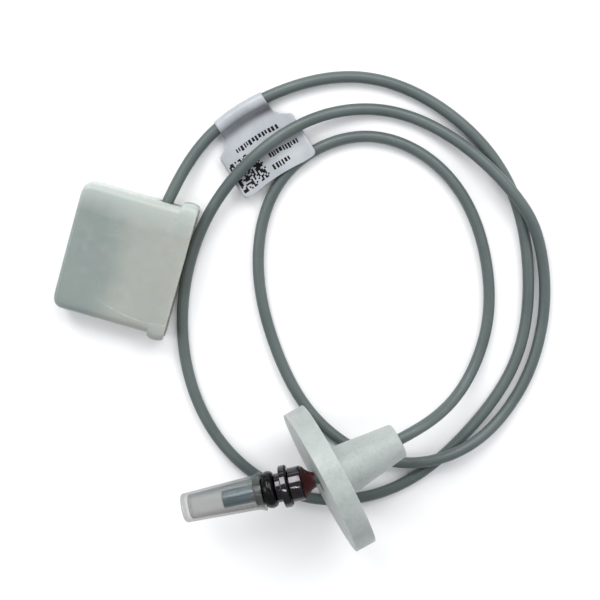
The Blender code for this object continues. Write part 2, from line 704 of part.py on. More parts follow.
def rod(name, radius, start, length, direction, slot, parent, steps=16):
    """A cylinder from start along +Y or +Z, or along -X, in its parent's frame."""
    turns = {
        "Y": Matrix.Rotation(math.radians(-90), 4, "X"),
        "Z": Matrix.Identity(4),
        "-X": Matrix.Rotation(math.radians(-90), 4, "Y"),
    }
    outline = [(0.0, length), (radius, length), (radius, 0.0), (0.0, 0.0)]
    place = Matrix.Translation(start) @ turns[direction]
    return turned(name, outline, slot, parent, steps=steps, place=place)


def make_housing(place):
    """The plug's two half shells, split level with the lead."""
    inside = HOUSING_SIDE - HOUSING_WALL
    low = (HOUSING_FRONT + HOUSING_WALL, -inside, HOUSING_LOW + HOUSING_WALL)
    high = (HOUSING_BACK - HOUSING_BLOCK_END, inside, HOUSING_HIGH - HOUSING_WALL)
    hollow = block("housing_hollow_cut", low, high, None, place)
    side = BLOCK_SIDE + GAP
    reach = BLOCK_HEIGHT / 2 + GAP
    low = (HOUSING_FRONT - OVER, -side, PLUG_MIDDLE - reach)
    high = (HOUSING_FRONT + HOUSING_WALL + OVER, side, PLUG_MIDDLE + reach)
    front = block("housing_front_cut", low, high, None, place)
    start = (LEAD_ENTRY, inside - OVER, PLUG_MIDDLE)
    radius = LEAD_RADIUS + GAP
    long = HOUSING_WALL + 2 * OVER
    entry = rod("housing_entry_cut", radius, start, long, "Y", None, place, 24)
    bottom = PLUG_MIDDLE - GAP / 2
    halves = {
        "plug_housing_lower": (HOUSING_LOW, bottom),
        "plug_housing_upper": (PLUG_MIDDLE + GAP / 2, HOUSING_HIGH),
    }
    screw_cuts = []
    for number, side in ((1, -1), (2, 1)):
        at = (SCREW_AT, side * SCREW_FROM_MIDDLE, HOUSING_LOW + HOUSING_WALL - GAP)
        radius = SCREW_RADIUS + GAP
        name = f"screw_hole_cut_{number}"
        shank = rod(name, radius, at, COVER_HEIGHT, "Z", None, place)
        at = (at[0], at[1], HOUSING_HIGH - SCREW_HEAD_HEIGHT - 2 * GAP)
        radius = SCREW_HEAD_RADIUS + GAP
        name = f"screw_head_cut_{number}"
        head = rod(name, radius, at, COVER_HEIGHT, "Z", None, place)
        screw_cuts.append((shank, head))
    for name, (low, high) in halves.items():
        corners = (HOUSING_FRONT, -HOUSING_SIDE, low), (HOUSING_BACK, HOUSING_SIDE, high)
        half = block(name, *corners, "housing_plastic", place)
        for cutter in (hollow, front, entry):
            cut(half, cutter)
        for shank, head in screw_cuts:
            cut(half, shank)
            if name == "plug_housing_upper":
                cut(half, head)


def make_housing_screws(place):
    low = HOUSING_LOW + HOUSING_WALL
    under_head = HOUSING_HIGH - SCREW_HEAD_HEIGHT - GAP
    top = HOUSING_HIGH - GAP
    for number, side in ((1, -1), (2, 1)):
        outline = [
            (0.0, top),
            (SCREW_HEAD_RADIUS, top),
            (SCREW_HEAD_RADIUS, under_head),
            (SCREW_RADIUS, under_head),
            (SCREW_RADIUS, low),
            (0.0, low),
        ]
        at = Matrix.Translation((SCREW_AT, side * SCREW_FROM_MIDDLE, 0.0))
        turned(f"housing_screw_{number}", outline, "screw_steel", place, steps=16, place=at)


def contact_places():
    first = -CONTACT_PITCH * (CONTACT_COUNT - 1) / 2
    return [first + CONTACT_PITCH * i for i in range(CONTACT_COUNT)]


def make_contacts(place):
    """The insulating block in the housing's front and the pins through it."""
    front = HOUSING_FRONT - BLOCK_REACH
    back = front + BLOCK_LENGTH
    low = (front, -BLOCK_SIDE, PLUG_MIDDLE - BLOCK_HEIGHT / 2)
    high = (back, BLOCK_SIDE, PLUG_MIDDLE + BLOCK_HEIGHT / 2)
    carrier = block("contact_block", low, high, "chip_black", place)
    length = BLOCK_LENGTH + CONTACT_REACH + CONTACT_TAIL
    radius = CONTACT_RADIUS + GAP
    for number, beside in enumerate(contact_places(), 1):
        over = (back + OVER, beside, PLUG_MIDDLE)
        name = f"contact_hole_cut_{number}"
        cut(carrier, rod(name, radius, over, BLOCK_LENGTH + 2 * OVER, "-X", None, place))
        start = (back + CONTACT_TAIL, beside, PLUG_MIDDLE)
        name = f"contact_{number}"
        rod(name, CONTACT_RADIUS, start, length, "-X", "contact_brass", place, 12)


def make_lead_tail(place):
    """The lead's end inside the plug, its clamp, and the cores to two contacts."""
    outside = HOUSING_SIDE - GAP
    start = (LEAD_ENTRY, outside - TAIL_LENGTH, PLUG_MIDDLE)
    rod("plug_lead_tail", LEAD_RADIUS, start, TAIL_LENGTH, "Y", "lead_jacket", place, 16)
    wide, deep, tall = CLAMP_SIZE
    at = outside - HOUSING_WALL - GAP - deep
    low = (LEAD_ENTRY - wide / 2, at, PLUG_MIDDLE - tall / 2)
    high = (LEAD_ENTRY + wide / 2, at + deep, PLUG_MIDDLE + tall / 2)
    clamp = block("cable_clamp", low, high, "chip_black", place)
    start = (LEAD_ENTRY, at - OVER, PLUG_MIDDLE)
    radius = LEAD_RADIUS + GAP
    cut(clamp, rod("clamp_hole_cut", radius, start, deep + 2 * OVER, "Y", None, place, 24))
    tails = HOUSING_FRONT - BLOCK_REACH + BLOCK_LENGTH + CONTACT_TAIL + GAP
    leave = outside - TAIL_LENGTH - GAP
    beside = contact_places()
    for number, (side, contact) in enumerate(((-1, 3), (1, 2)), 1):
        start_x = LEAD_ENTRY + side * TAIL_CORE_SPACING / 2
        goal = beside[contact]
        knots = [
            (start_x, leave, PLUG_MIDDLE),
            (start_x, leave - CORE_STRAIGHT, PLUG_MIDDLE),
            (start_x - 0.3 * (start_x - tails), (leave + goal) / 2, PLUG_MIDDLE),
            (tails + CORE_STRAIGHT, goal, PLUG_MIDDLE),
            (tails, goal, PLUG_MIDDLE),
        ]
        core = f"plug_core_{number}"
        tube(core, smooth_line(knots, 10), CORE_RADIUS, "core_insulation", place, roundness=1)


def main():
    flange, plug = flange_matrix(), plug_matrix()
    probe = probe_matrix(flange)
    flange_axis = make_frame("flange_axis", flange)
    probe_axis = make_frame("probe_axis", probe)
    plug_place = make_frame("plug_place", plug)
    make_flange(flange_axis)
    make_probe_body(probe_axis)
    make_rear_sleeve(probe_axis)
    make_sealing_ring(probe_axis)
    make_rear_seal(probe_axis)
    make_sensor(probe_axis)
    make_board(probe_axis)
    make_tip_cap(probe_axis)
    make_body_lead(flange, probe)
    line = free_lead_line(flange, plug, LEAD_POINTS)
    tube("lead_cable", line, LEAD_RADIUS, "lead_jacket")
    make_label(free_lead_line(flange, plug, 4 * LEAD_POINTS))
    make_cover(plug_place)
    make_housing(plug_place)
    make_housing_screws(plug_place)
    make_contacts(plug_place)
    make_lead_tail(plug_place)


clear_scene()
PART, CUTTERS = make_collections()
main()
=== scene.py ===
"""The looks of the flame sensor probe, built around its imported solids."""

import json
import math
import random

import bmesh
import bpy
import numpy as np
from mathutils import Matrix, Vector


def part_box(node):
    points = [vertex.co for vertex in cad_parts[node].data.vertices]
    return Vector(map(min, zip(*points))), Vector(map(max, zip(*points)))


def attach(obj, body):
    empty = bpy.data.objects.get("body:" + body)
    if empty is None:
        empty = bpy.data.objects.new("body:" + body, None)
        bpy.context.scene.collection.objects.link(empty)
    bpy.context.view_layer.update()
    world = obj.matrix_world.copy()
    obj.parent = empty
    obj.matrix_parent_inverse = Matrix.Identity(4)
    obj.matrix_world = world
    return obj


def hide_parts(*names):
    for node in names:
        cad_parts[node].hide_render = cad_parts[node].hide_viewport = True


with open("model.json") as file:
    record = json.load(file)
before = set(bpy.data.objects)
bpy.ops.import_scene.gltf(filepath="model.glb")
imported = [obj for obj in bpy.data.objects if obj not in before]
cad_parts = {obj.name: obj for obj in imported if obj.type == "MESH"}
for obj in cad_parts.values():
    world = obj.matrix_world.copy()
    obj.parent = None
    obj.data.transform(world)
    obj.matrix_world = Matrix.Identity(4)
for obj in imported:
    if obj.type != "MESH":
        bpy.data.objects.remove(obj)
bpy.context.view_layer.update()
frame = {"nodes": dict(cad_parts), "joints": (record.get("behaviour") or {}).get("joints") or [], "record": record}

# Sizes are in metres, but for the lead's route and the label's print.
MM = 0.001
UP = Vector((0.0, 0.0, 1.0))
NODES = frame["nodes"]
MOUNTS = {mount["name"]: mount for mount in frame["record"]["mounts"]}
JOINTS = {joint["name"]: joint for joint in frame["joints"]}

# ---- sizes shared with the solids ----------------------------------------------------------
GAP = 0.3 * MM  # between neighbouring pieces
LEAD_RADIUS = 2.0 * MM
LEAD_LIFT = 0.05 * MM  # off the bench
FLANGE_RADIUS = 26.0 * MM
FLANGE_THICKNESS = 7.2 * MM
BOSS_LENGTH = 23.5 * MM
BOSS_BASE_RADIUS = 9.0 * MM
BOSS_END_RADIUS = 6.1 * MM
BORE_RADIUS = 2.6 * MM
BORE_MOUTH_RADIUS = 4.2 * MM
BORE_TAPER = 10.0 * MM
FACE_POINT_REACH = 15.0 * MM  # from the flange's axis to its face mount's point

REAR_SLEEVE_RADIUS = 5.9 * MM
REAR_SLEEVE_LENGTH = 4.3 * MM
SPIGOT_RADIUS = 4.6 * MM
COLLAR_RADIUS = 7.25 * MM
NECK_RADIUS = 5.0 * MM
FRONT_COLLAR_RADIUS = 4.75 * MM
RING_RADIUS = 6.4 * MM
RING_HEIGHT = 2.6 * MM
RING_WIDTH = 4.0 * MM
TUBE_RADIUS = 2.95 * MM
SEAL_LENGTH = 3.9 * MM
NECK_AT = 7.2 * MM
GROOVE_AT = 9.2 * MM
FRONT_COLLAR_AT = 13.8 * MM
TUBE_REAR = 14.9 * MM
BODY_FRONT = 16.7 * MM
TUBE_FRONT = 27.9 * MM

CAP_LENGTH = 28.2 * MM
CAP_WALL = 0.8 * MM
CAP_END_RADIUS = 5.0 * MM
CAP_END_THICKNESS = 2.4 * MM
CAP_MOUTH_RADIUS = 5.05 * MM
CAP_FLARE = 1.0 * MM
CAP_FLARE_LENGTH = 3.6 * MM

COVER_LENGTH = 34.0 * MM
COVER_WIDTH = 45.0 * MM
COVER_HEIGHT = 12.5 * MM
COVER_WALL = 1.2 * MM
COVER_CORNER = 3.4 * MM  # seen from above, at the closed end
RIM_LENGTH = 6.0 * MM
RIM_OVERHANG = 2.0 * MM
LEAD_ENTRY = 11.5 * MM  # from the plug's middle towards the cover's mouth
HOUSING_SIDE = 20.8 * MM
PLUG_MIDDLE = COVER_HEIGHT / 2
LEAD_APPROACH = Vector((1.6 * MM, 9.0 * MM, -1.2 * MM))  # the last bend, from the entry
SLOT_HALF = 2.6 * MM
SLOT_BELOW = 3.2 * MM
CONTACT_RADIUS = 0.9 * MM
CONTACT_HALF = 8.2 * MM

LABEL_FROM_PLUG = 42.0 * MM
LABEL_FILM = 0.16 * MM
LABEL_LAYER_GAP = 0.36 * MM
LABEL_NECK_WIDTH = 19.0 * MM
LABEL_FLAG_WIDTH = 29.4 * MM
LABEL_REACH = 25.5 * MM
LABEL_SHOULDER = (3.6 * MM, 9.2 * MM)  # where it starts and stops, out from the lead
LABEL_CORNER = 1.6 * MM
LABEL_RISE = 2.3 * MM
LABEL_SAG = 0.75 * MM
LABEL_OFF_LEAD = 0.8 * MM

# ---- details the solids leave out ----------------------------------------------------------
COVER_SKIN = 0.05 * MM  # how far the shaped cover stays inside its solid's height
COVER_EDGE = 1.5 * MM  # seen from the side, at the closed end
COVER_SIDE_CORNER = 2.6 * MM
COVER_CROWN = 0.28 * MM  # how far its flat sides are drawn in
COVER_CROWN_RUN = 8.0 * MM
BEAD_FOOT = 0.07  # the share of the rim's swell that each foot of its bead leaves out
BEAD_ROUND = 0.45  # below 1, the bead is blunter than half a sine wave
COVER_SHARP = 50  # degrees, the least that an edge turns and is kept crisp

# The flag's generic print in millimetres: how far out each row of dashes is, and where it
# starts and stops, then how far out the block of random cells is, and where it starts.
PRINT_ROWS = [(9.7, -8.4, 7.8), (17.2, 0.4, 11.4), (21.2, -0.6, 6.2)]
DASH_WIDTH = (0.4, 0.95)
DASH_HEIGHT = (1.3, 2.0)
DASH_GAP = (0.35, 0.6)
PRINT_BLOCK = (12.9, -13.6)
PRINT_CELLS = 18
PRINT_CELL = 0.61
PRINT_FILLED = 0.56  # the share of its cells that are black
PRINT_SEED = 4
PRINT_LIFT = 0.02 * MM
INK_THICKNESS = 0.015 * MM

# The painted shade where the label's film turns down off the lead: how far out from the lead, how wide, and how
# strong it is in the middle and how much stronger at one end.
FOLD_AT = 3.8 * MM
FOLD_SPREAD = 1.6 * MM
FOLD_SHADE_STRENGTH = (0.86, 0.14)

# A long faint scratch on the cover, an arc about this place in the plug's axes.
SCRATCH_MIDDLE = (14.9 * MM, 25.1 * MM, 12.4 * MM)
SCRATCH_RADIUS = 44.0 * MM

# The free lead's route in millimetres: one loop, a wider one, then a third.
LEAD_ROUTE = [
    (47.0, 17.2, 16.2), (59.4, 26.9, 6.1), (66.4, 41.0, 2.1), (67.0, 72.3, 2.1),
    (53.3, 100.9, 2.1), (25.4, 114.4, 2.1), (-2.7, 101.4, 2.1), (-12.4, 71.6, 2.1),
    (-6.4, 40.3, 2.1), (9.6, 12.9, 2.1), (37.6, -1.2, 3.0), (50.4, 0.8, 6.6),
    (63.4, 6.6, 6.0), (74.2, 16.0, 2.9), (87.6, 49.6, 2.1), (86.0, 75.0, 3.6),
    (81.6, 86.4, 6.1), (74.0, 96.8, 6.7), (61.6, 108.8, 4.8), (31.5, 123.2, 2.1),
    (8.0, 120.9, 5.2), (-14.8, 106.4, 6.9), (-28.9, 88.5, 4.9), (-38.4, 60.3, 2.1),
    (-36.7, 28.6, 2.1), (-21.6, 0.8, 2.1), (6.0, -14.7, 2.1), (37.1, -10.3, 2.1),
    (61.8, 9.8, 2.1), (78.6, 36.4, 2.1), (82.0, 67.9, 2.1), (74.1, 98.7, 2.1),
    (52.9, 122.5, 2.1), (23.6, 134.4, 2.1), (-7.4, 128.6, 2.7), (-30.4, 113.0, 3.0),
]  # fmt: skip
LEAD_POINTS = 620


# ---- places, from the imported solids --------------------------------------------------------
def frame_at(origin, z_axis, x_axis):
    """A placement whose local Z is z_axis and whose local X is x_axis."""
    z = Vector(z_axis).normalized()
    x = Vector(x_axis).normalized()
    return Matrix.Translation(origin) @ Matrix((x, z.cross(x), z)).transposed().to_4x4()


def box_middle(node):
    low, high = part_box(node)
    return (low + high) / 2


def flange_place():
    """The flange's middle, local Z towards the boss."""
    face = MOUNTS["flange_face"]
    axis = -Vector(face["axis"])
    level = UP.cross(axis).normalized()
    middle = Vector(face["pos_m"]) + level * FACE_POINT_REACH + axis * FLANGE_THICKNESS / 2
    return frame_at(middle, axis, level)


def probe_place():
    """The middle of the probe's rear face, local Z towards the tip."""
    forward = Vector(JOINTS["tip_cap_slide"]["axis"])
    rear = box_middle("sensor_tube") - forward * (TUBE_REAR + TUBE_FRONT) / 2
    return frame_at(rear, forward, UP.cross(-forward))


def plug_place():
    """Under the plug's middle, local X out of the cover's mouth."""
    out = -Vector(JOINTS["cover_slide"]["axis"])
    return frame_at(MOUNTS["plug_rest"]["pos_m"], UP, out)


FLANGE = flange_place()
PROBE = probe_place()
PLUG = plug_place()


# ---- shapes --------------------------------------------------------------------------------
MERGED = 1e-6  # points closer than this become one
SPLINE_SAMPLES = 8000


def smooth_line(knots, count):
    """count points, evenly spaced, on the natural cubic spline through the knots."""
    knots = np.array(knots, float)
    chord = np.linalg.norm(np.diff(knots, axis=0), axis=1)
    at = np.concatenate([[0.0], np.cumsum(chord)])
    last = len(knots) - 1
    system = np.eye(last + 1)
    pull = np.zeros_like(knots)
    for i in range(1, last):
        system[i, i - 1 : i + 2] = chord[i - 1], 2 * (chord[i - 1] + chord[i]), chord[i]
        after = (knots[i + 1] - knots[i]) / chord[i]
        before = (knots[i] - knots[i - 1]) / chord[i - 1]
        pull[i] = 6 * (after - before)
    bend = np.linalg.solve(system, pull)
    fine = np.linspace(0.0, at[-1], SPLINE_SAMPLES)
    span = np.clip(np.searchsorted(at, fine, side="right") - 1, 0, last - 1)
    left = (fine - at[span])[:, None]
    right = (at[span + 1] - fine)[:, None]
    width = chord[span][:, None]
    dense = (
        (bend[span] * right**3 + bend[span + 1] * left**3) / (6 * width)
        + (knots[span] / width - bend[span] * width / 6) * right
        + (knots[span + 1] / width - bend[span + 1] * width / 6) * left
    )
    run = np.concatenate([[0.0], np.cumsum(np.linalg.norm(np.diff(dense, axis=0), axis=1))])
    wanted = np.linspace(0.0, run[-1], count)
    return np.array([np.interp(wanted, run, dense[:, k]) for k in range(3)]).T


def piece(name, data, body, stands_for=(), slot=None, place=None):
    """Links a piece in the shared frame, on the body it rides on, and hides the solids it stands for."""
    if place is not None:
        data.transform(place)
    thing = bpy.data.objects.new(name, data)
    bpy.context.scene.collection.objects.link(thing)
    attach(thing, body)
    if stands_for:
        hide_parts(*stands_for)
    if slot:
        data.materials.append(FINISHES[slot])
    return thing


def from_shape(name, shape, sharp=40):
    """A smooth-shaded mesh, with its edges over sharp degrees kept crisp."""
    bmesh.ops.recalc_face_normals(shape, faces=shape.faces)
    mesh = bpy.data.meshes.new(name)
    shape.to_mesh(mesh)
    shape.free()
    mesh.shade_smooth()
    mesh.set_sharp_from_angle(angle=math.radians(sharp))
    return mesh


def rounded(outline):
    """An outline whose (radius, height, fillet) corners are rounded by their fillets."""
    made = []
    steps = 5
    room = 0.48  # of an edge, the most that a fillet may take
    last = len(outline) - 1
    for i, (r, z, fillet) in enumerate(outline):
        here = Vector((r, z))
        if not fillet or i in (0, last):
            made.append(here)
            continue
        before = Vector(outline[i - 1][:2]) - here
        after = Vector(outline[i + 1][:2]) - here
        one = here + before.normalized() * min(fillet, before.length * room)
        two = here + after.normalized() * min(fillet, after.length * room)
        for k in range(steps + 1):
            t = k / steps
            made.append(one * (1 - t) ** 2 + here * 2 * t * (1 - t) + two * t**2)
    return [(p[0], p[1]) for p in made]


def turned(name, outline, steps=144, closed=True):
    """Turns an outline about local Z. A closed one ends where it starts."""
    shape = bmesh.new()
    rings = []
    for r, z in outline:
        if r < 1e-7:
            rings.append([shape.verts.new((0.0, 0.0, z))])
            continue
        angles = (2 * math.pi * k / steps for k in range(steps))
        rings.append([shape.verts.new((r * math.cos(a), r * math.sin(a), z)) for a in angles])
    pairs = list(zip(rings, rings[1:]))
    if closed:
        pairs.append((rings[-1], rings[0]))
    for one, two in pairs:
        for k in range(steps):
            corners = [one[k % len(one)], one[(k + 1) % len(one)]]
            corners += [two[(k + 1) % len(two)], two[k % len(two)]]
            corners = list(dict.fromkeys(corners))
            if len(corners) > 2:
                shape.faces.new(corners)
    return from_shape(name, shape)


def turned_piece(name, outline, node, slot, place, body="root", **how):
    """A turned piece that stands for a CAD node."""
    return piece(name, turned(name, outline, **how), body, [node], slot, place)


def tube(name, line, radius):
    """A round tube along a line, as a mesh with closed ends."""
    curve = bpy.data.curves.new(name, "CURVE")
    curve.dimensions = "3D"
    curve.bevel_depth = radius
    curve.bevel_resolution = 7
    curve.use_fill_caps = True
    spline = curve.splines.new("POLY")
    spline.points.add(len(line) - 1)
    for point, place in zip(spline.points, line):
        point.co = (*place, 1.0)
    guide = bpy.data.objects.new(name, curve)
    bpy.context.scene.collection.objects.link(guide)
    bpy.context.view_layer.update()
    depsgraph = bpy.context.evaluated_depsgraph_get()
    shape = bmesh.new()
    shape.from_mesh(bpy.data.meshes.new_from_object(guide.evaluated_get(depsgraph)))
    bmesh.ops.remove_doubles(shape, verts=shape.verts, dist=MERGED)
    bpy.data.objects.remove(guide)
    bpy.data.curves.remove(curve)
    return from_shape(name, shape)


def softened(node, name, width, slot):
    """Stands for a plain solid with a copy whose edges are rounded."""
    flat, sharp = math.radians(1), math.radians(35)
    shape = bmesh.new()
    shape.from_mesh(NODES[node].data)
    bmesh.ops.remove_doubles(shape, verts=shape.verts, dist=MERGED)
    bmesh.ops.dissolve_limit(shape, angle_limit=flat, verts=shape.verts, edges=shape.edges)
    mesh = bpy.data.meshes.new(name)
    shape.to_mesh(mesh)
    shape.free()
    thing = piece(name, mesh, "root", [node], slot)
    bevel = thing.modifiers.new("edges", "BEVEL")
    bevel.width = width
    bevel.segments = 3
    bevel.limit_method = "ANGLE"
    bevel.angle_limit = sharp
    bevel.harden_normals = True
    mesh.shade_smooth()
    mesh.set_sharp_from_angle(angle=sharp)
    return thing


# ---- finishes ------------------------------------------------------------------------------
SOCKETS = {
    "metal": "Metallic", "rough": "Roughness", "ior": "IOR",
    "glow_depth": "Subsurface Weight", "glow_scale": "Subsurface Scale",
    "glow_radius": "Subsurface Radius", "specular": "Specular IOR Level",
    "coat": "Coat Weight", "coat_rough": "Coat Roughness",
}  # fmt: skip


class Finish:
    """A Principled material and the nodes that feed it. Noise scales are per metre."""

    def __init__(self, name, about=None, **values):
        self.material = bpy.data.materials.new(name)
        self.material.use_nodes = True
        self.tree = self.material.node_tree
        self.shader = self.tree.nodes["Principled BSDF"]
        self.place = self.add("ShaderNodeTexCoord").outputs["Object"]
        if about is not None:
            self.place = self.seen_from(about)
        self.last_bump = None
        for key, value in values.items():
            self.shader.inputs[SOCKETS[key]].default_value = value

    def add(self, kind, **options):
        node = self.tree.nodes.new(kind)
        for key, value in options.items():
            setattr(node, key, value)
        return node

    def feed(self, socket, value):
        if isinstance(value, bpy.types.NodeSocket):
            self.tree.links.new(value, socket)
        else:
            socket.default_value = value

    def seen_from(self, about):
        """The place in a piece's own axes, which its turned or moulded marks follow."""
        node = self.add("ShaderNodeMapping", vector_type="TEXTURE")
        self.feed(node.inputs["Vector"], self.place)
        node.inputs["Location"].default_value = about.to_translation()
        node.inputs["Rotation"].default_value = about.to_euler()
        return node.outputs["Vector"]

    def along(self, axis):
        """The place's X, Y or Z in metres."""
        node = self.add("ShaderNodeSeparateXYZ")
        self.feed(node.inputs[0], self.place)
        return node.outputs[axis]

    def arc(self, middle, radius, wide):
        """1 on a circle of this radius about a place, fading out over its width."""
        node = self.add("ShaderNodeVectorMath", operation="DISTANCE")
        self.feed(node.inputs[0], self.place)
        node.inputs[1].default_value = middle
        off = self.sum(self.sum(node.outputs["Value"], radius, "SUBTRACT"), 0.0, "ABSOLUTE")
        return self.span(off, wide * 0.3, wide, 1.0, 0.0)

    def marked(self, name):
        """A number that the mesh carries at each of its points."""
        return self.add("ShaderNodeAttribute", attribute_name=name).outputs["Fac"]

    def stretched(self, scale):
        """The place with its axes scaled, which draws noise out along the smallest."""
        node = self.add("ShaderNodeMapping")
        self.feed(node.inputs["Vector"], self.place)
        node.inputs["Scale"].default_value = scale
        return node.outputs["Vector"]

    def noise(self, scale, detail=3.0, rough=0.5, vector=None, warp=0.0):
        node = self.add("ShaderNodeTexNoise")
        self.feed(node.inputs["Vector"], vector or self.place)
        for key, value in (("Scale", scale), ("Detail", detail), ("Roughness", rough)):
            node.inputs[key].default_value = value
        node.inputs["Distortion"].default_value = warp
        return node.outputs["Fac"]

    def rings(self, scale, warp=0.0):
        node = self.add("ShaderNodeTexWave", wave_type="RINGS", rings_direction="Z")
        self.feed(node.inputs["Vector"], self.place)
        node.inputs["Scale"].default_value = scale
        node.inputs["Distortion"].default_value = warp
        return node.outputs["Fac"]

    def span(self, value, low, high, to_low=0.0, to_high=1.0):
        node = self.add("ShaderNodeMapRange")
        for key, one in enumerate((value, low, high, to_low, to_high)):
            self.feed(node.inputs[key], one)
        return node.outputs["Result"]

    def sum(self, one, two, how="ADD"):
        """Two numbers added, or put together as how says."""
        node = self.add("ShaderNodeMath", operation=how)
        self.feed(node.inputs[0], one)
        self.feed(node.inputs[1], two)
        return node.outputs["Value"]

    def times(self, one, two):
        return self.sum(one, two, "MULTIPLY")

    def blend(self, share, one, two):
        node = self.add("ShaderNodeMix", data_type="RGBA")
        self.feed(node.inputs["Factor"], share)
        self.feed(node.inputs["A"], one)
        self.feed(node.inputs["B"], two)
        return node.outputs["Result"]

    def colour(self, value):
        self.feed(self.shader.inputs["Base Color"], value)
        return self

    def rough(self, value):
        self.feed(self.shader.inputs["Roughness"], value)
        return self

    def milky(self, facing, edge_on):
        """Lets light straight through, less of it where the surface is seen edge on."""
        weight = self.add("ShaderNodeLayerWeight").outputs["Facing"]
        self.feed(self.shader.inputs["Alpha"], self.span(weight, 0.15, 1.0, facing, edge_on))
        return self

    def bump(self, height, depth, strength=1.0):
        node = self.add("ShaderNodeBump")
        node.inputs["Distance"].default_value = depth
        node.inputs["Strength"].default_value = strength
        self.feed(node.inputs["Height"], height)
        if self.last_bump is not None:
            self.feed(node.inputs["Normal"], self.last_bump)
        self.last_bump = node.outputs["Normal"]
        self.feed(self.shader.inputs["Normal"], self.last_bump)
        return self


def rgb(r, g, b):
    return (r, g, b, 1.0)


def flange_finish():
    """Milky fluoropolymer: cloudy, waxy, with the lathe's fine rings."""
    glow = {"glow_depth": 0.25, "glow_scale": 3 * MM, "glow_radius": (1.0, 1.0, 0.95)}
    f = Finish("flange_plastic", FLANGE, rough=0.42, **glow)
    cloud = f.span(f.noise(115, 3, 0.5), 0.32, 0.68)
    grain = f.span(f.noise(900, 4, 0.6), 0.28, 0.72)
    mixed = f.sum(f.times(cloud, 0.55), f.times(grain, 0.45))
    f.colour(f.blend(mixed, rgb(0.27, 0.300, 0.288), rgb(0.375, 0.402, 0.388)))
    f.rough(f.span(f.noise(420, 3), 0.3, 0.7, 0.34, 0.52))
    f.bump(f.rings(520, 1.5), 0.02 * MM, 0.35)
    f.bump(f.noise(1300, 4, 0.6), 0.05 * MM, 0.5)
    return f.material


def cap_finish():
    """Natural moulded plastic, half clear, with flow streaks from tip to mouth, and a painted reflection: warmer
    towards one side, cooler towards the other.
    """
    f = Finish("cap_clear", PROBE, rough=0.2, ior=1.5)
    streak = f.span(f.noise(170, 3, 0.5, f.stretched((1.0, 1.0, 0.05))), 0.38, 0.62)
    # Painted reflection: the cap turns warmer towards one side and cooler towards the other; the tone below mixes
    # it with the flow streaks.
    side = f.span(f.along("X"), 5 * MM, -4 * MM)
    tone = f.sum(f.times(streak, 0.4), f.times(side, 0.6))
    f.colour(f.blend(tone, rgb(0.040, 0.085, 0.098), rgb(0.175, 0.150, 0.120)))
    f.rough(f.span(f.noise(260, 3), 0.3, 0.7, 0.10, 0.24))
    f.bump(f.noise(130, 2), 0.08 * MM, 0.35)
    f.milky(0.27, 0.58)
    return f.material


def cover_finish():
    """Natural soft plastic: cool where it is empty, warmer over the plug, with a painted highlight along one edge.
    """
    glow = {"glow_depth": 0.2, "glow_scale": 2 * MM}
    f = Finish("cover_plastic", PLUG, rough=0.4, ior=1.5, **glow)
    cloud = f.noise(55, 3, 0.5)
    wander = f.span(cloud, 0.3, 0.7, -4 * MM, 4 * MM)
    over_plug = f.span(f.sum(f.along("X"), wander), -6 * MM, 7 * MM)
    # Painted highlight: paler towards one long edge, where its rounded edge would catch the light.
    edge = f.span(f.sum(f.along("Y"), f.times(wander, 0.3)), 12 * MM, 22 * MM)
    plain = f.blend(over_plug, rgb(0.262, 0.312, 0.292), rgb(0.385, 0.408, 0.370))
    lit = f.blend(edge, plain, rgb(0.52, 0.57, 0.545))
    mottled = f.blend(f.span(cloud, 0.3, 0.7, 0.0, 0.16), lit, rgb(0.22, 0.26, 0.25))
    scratch = f.arc(SCRATCH_MIDDLE, SCRATCH_RADIUS, 0.28 * MM)
    scratch = f.times(scratch, f.span(f.along("X"), -3.5 * MM, 4 * MM))
    scratch = f.times(scratch, f.span(f.noise(500, 2), 0.4, 0.6, 0.1, 0.5))
    f.colour(f.blend(scratch, mottled, rgb(0.66, 0.70, 0.68)))
    f.rough(f.span(f.noise(340, 3), 0.3, 0.7, 0.26, 0.42))
    f.bump(f.noise(60, 2), 0.14 * MM, 0.35)
    f.bump(f.noise(1500, 3), 0.02 * MM, 0.25)
    f.milky(0.62, 0.9)
    return f.material


def nickel_finish():
    """Polished dark nickel with a lathe's hairlines round it."""
    f = Finish("black_nickel", PROBE, metal=1.0, rough=0.12)
    tint = f.span(f.noise(150, 3), 0.35, 0.65)
    f.colour(f.blend(tint, rgb(0.040, 0.037, 0.041), rgb(0.070, 0.065, 0.070)))
    hair = f.noise(260, 4, 0.6, f.stretched((0.3, 0.3, 60.0)))
    f.rough(f.span(hair, 0.3, 0.7, 0.05, 0.15))
    f.bump(hair, 0.012 * MM, 0.4)
    return f.material


def filter_finish():
    """Slate-blue filter glass with drawn streaks along it."""
    f = Finish("filter_glass", PROBE, rough=0.1, ior=1.52, coat=0.6, coat_rough=0.05)
    streak = f.noise(700, 3, 0.5, f.stretched((1.0, 1.0, 0.04)))
    tone = f.span(streak, 0.35, 0.7)
    f.colour(f.blend(tone, rgb(0.006, 0.052, 0.092), rgb(0.034, 0.125, 0.185)))
    f.bump(f.noise(500, 2), 0.02 * MM, 0.2)
    return f.material


def ring_finish():
    """Moulded black rubber with an oily shine."""
    f = Finish("black_rubber", PROBE, rough=0.2, specular=0.2)
    oily = f.noise(240, 3, 0.55)
    tone = f.span(oily, 0.3, 0.7)
    f.colour(f.blend(tone, rgb(0.002, 0.002, 0.002), rgb(0.005, 0.005, 0.005)))
    f.rough(f.span(oily, 0.35, 0.7, 0.10, 0.22))
    f.bump(f.noise(900, 3), 0.02 * MM, 0.3)
    return f.material


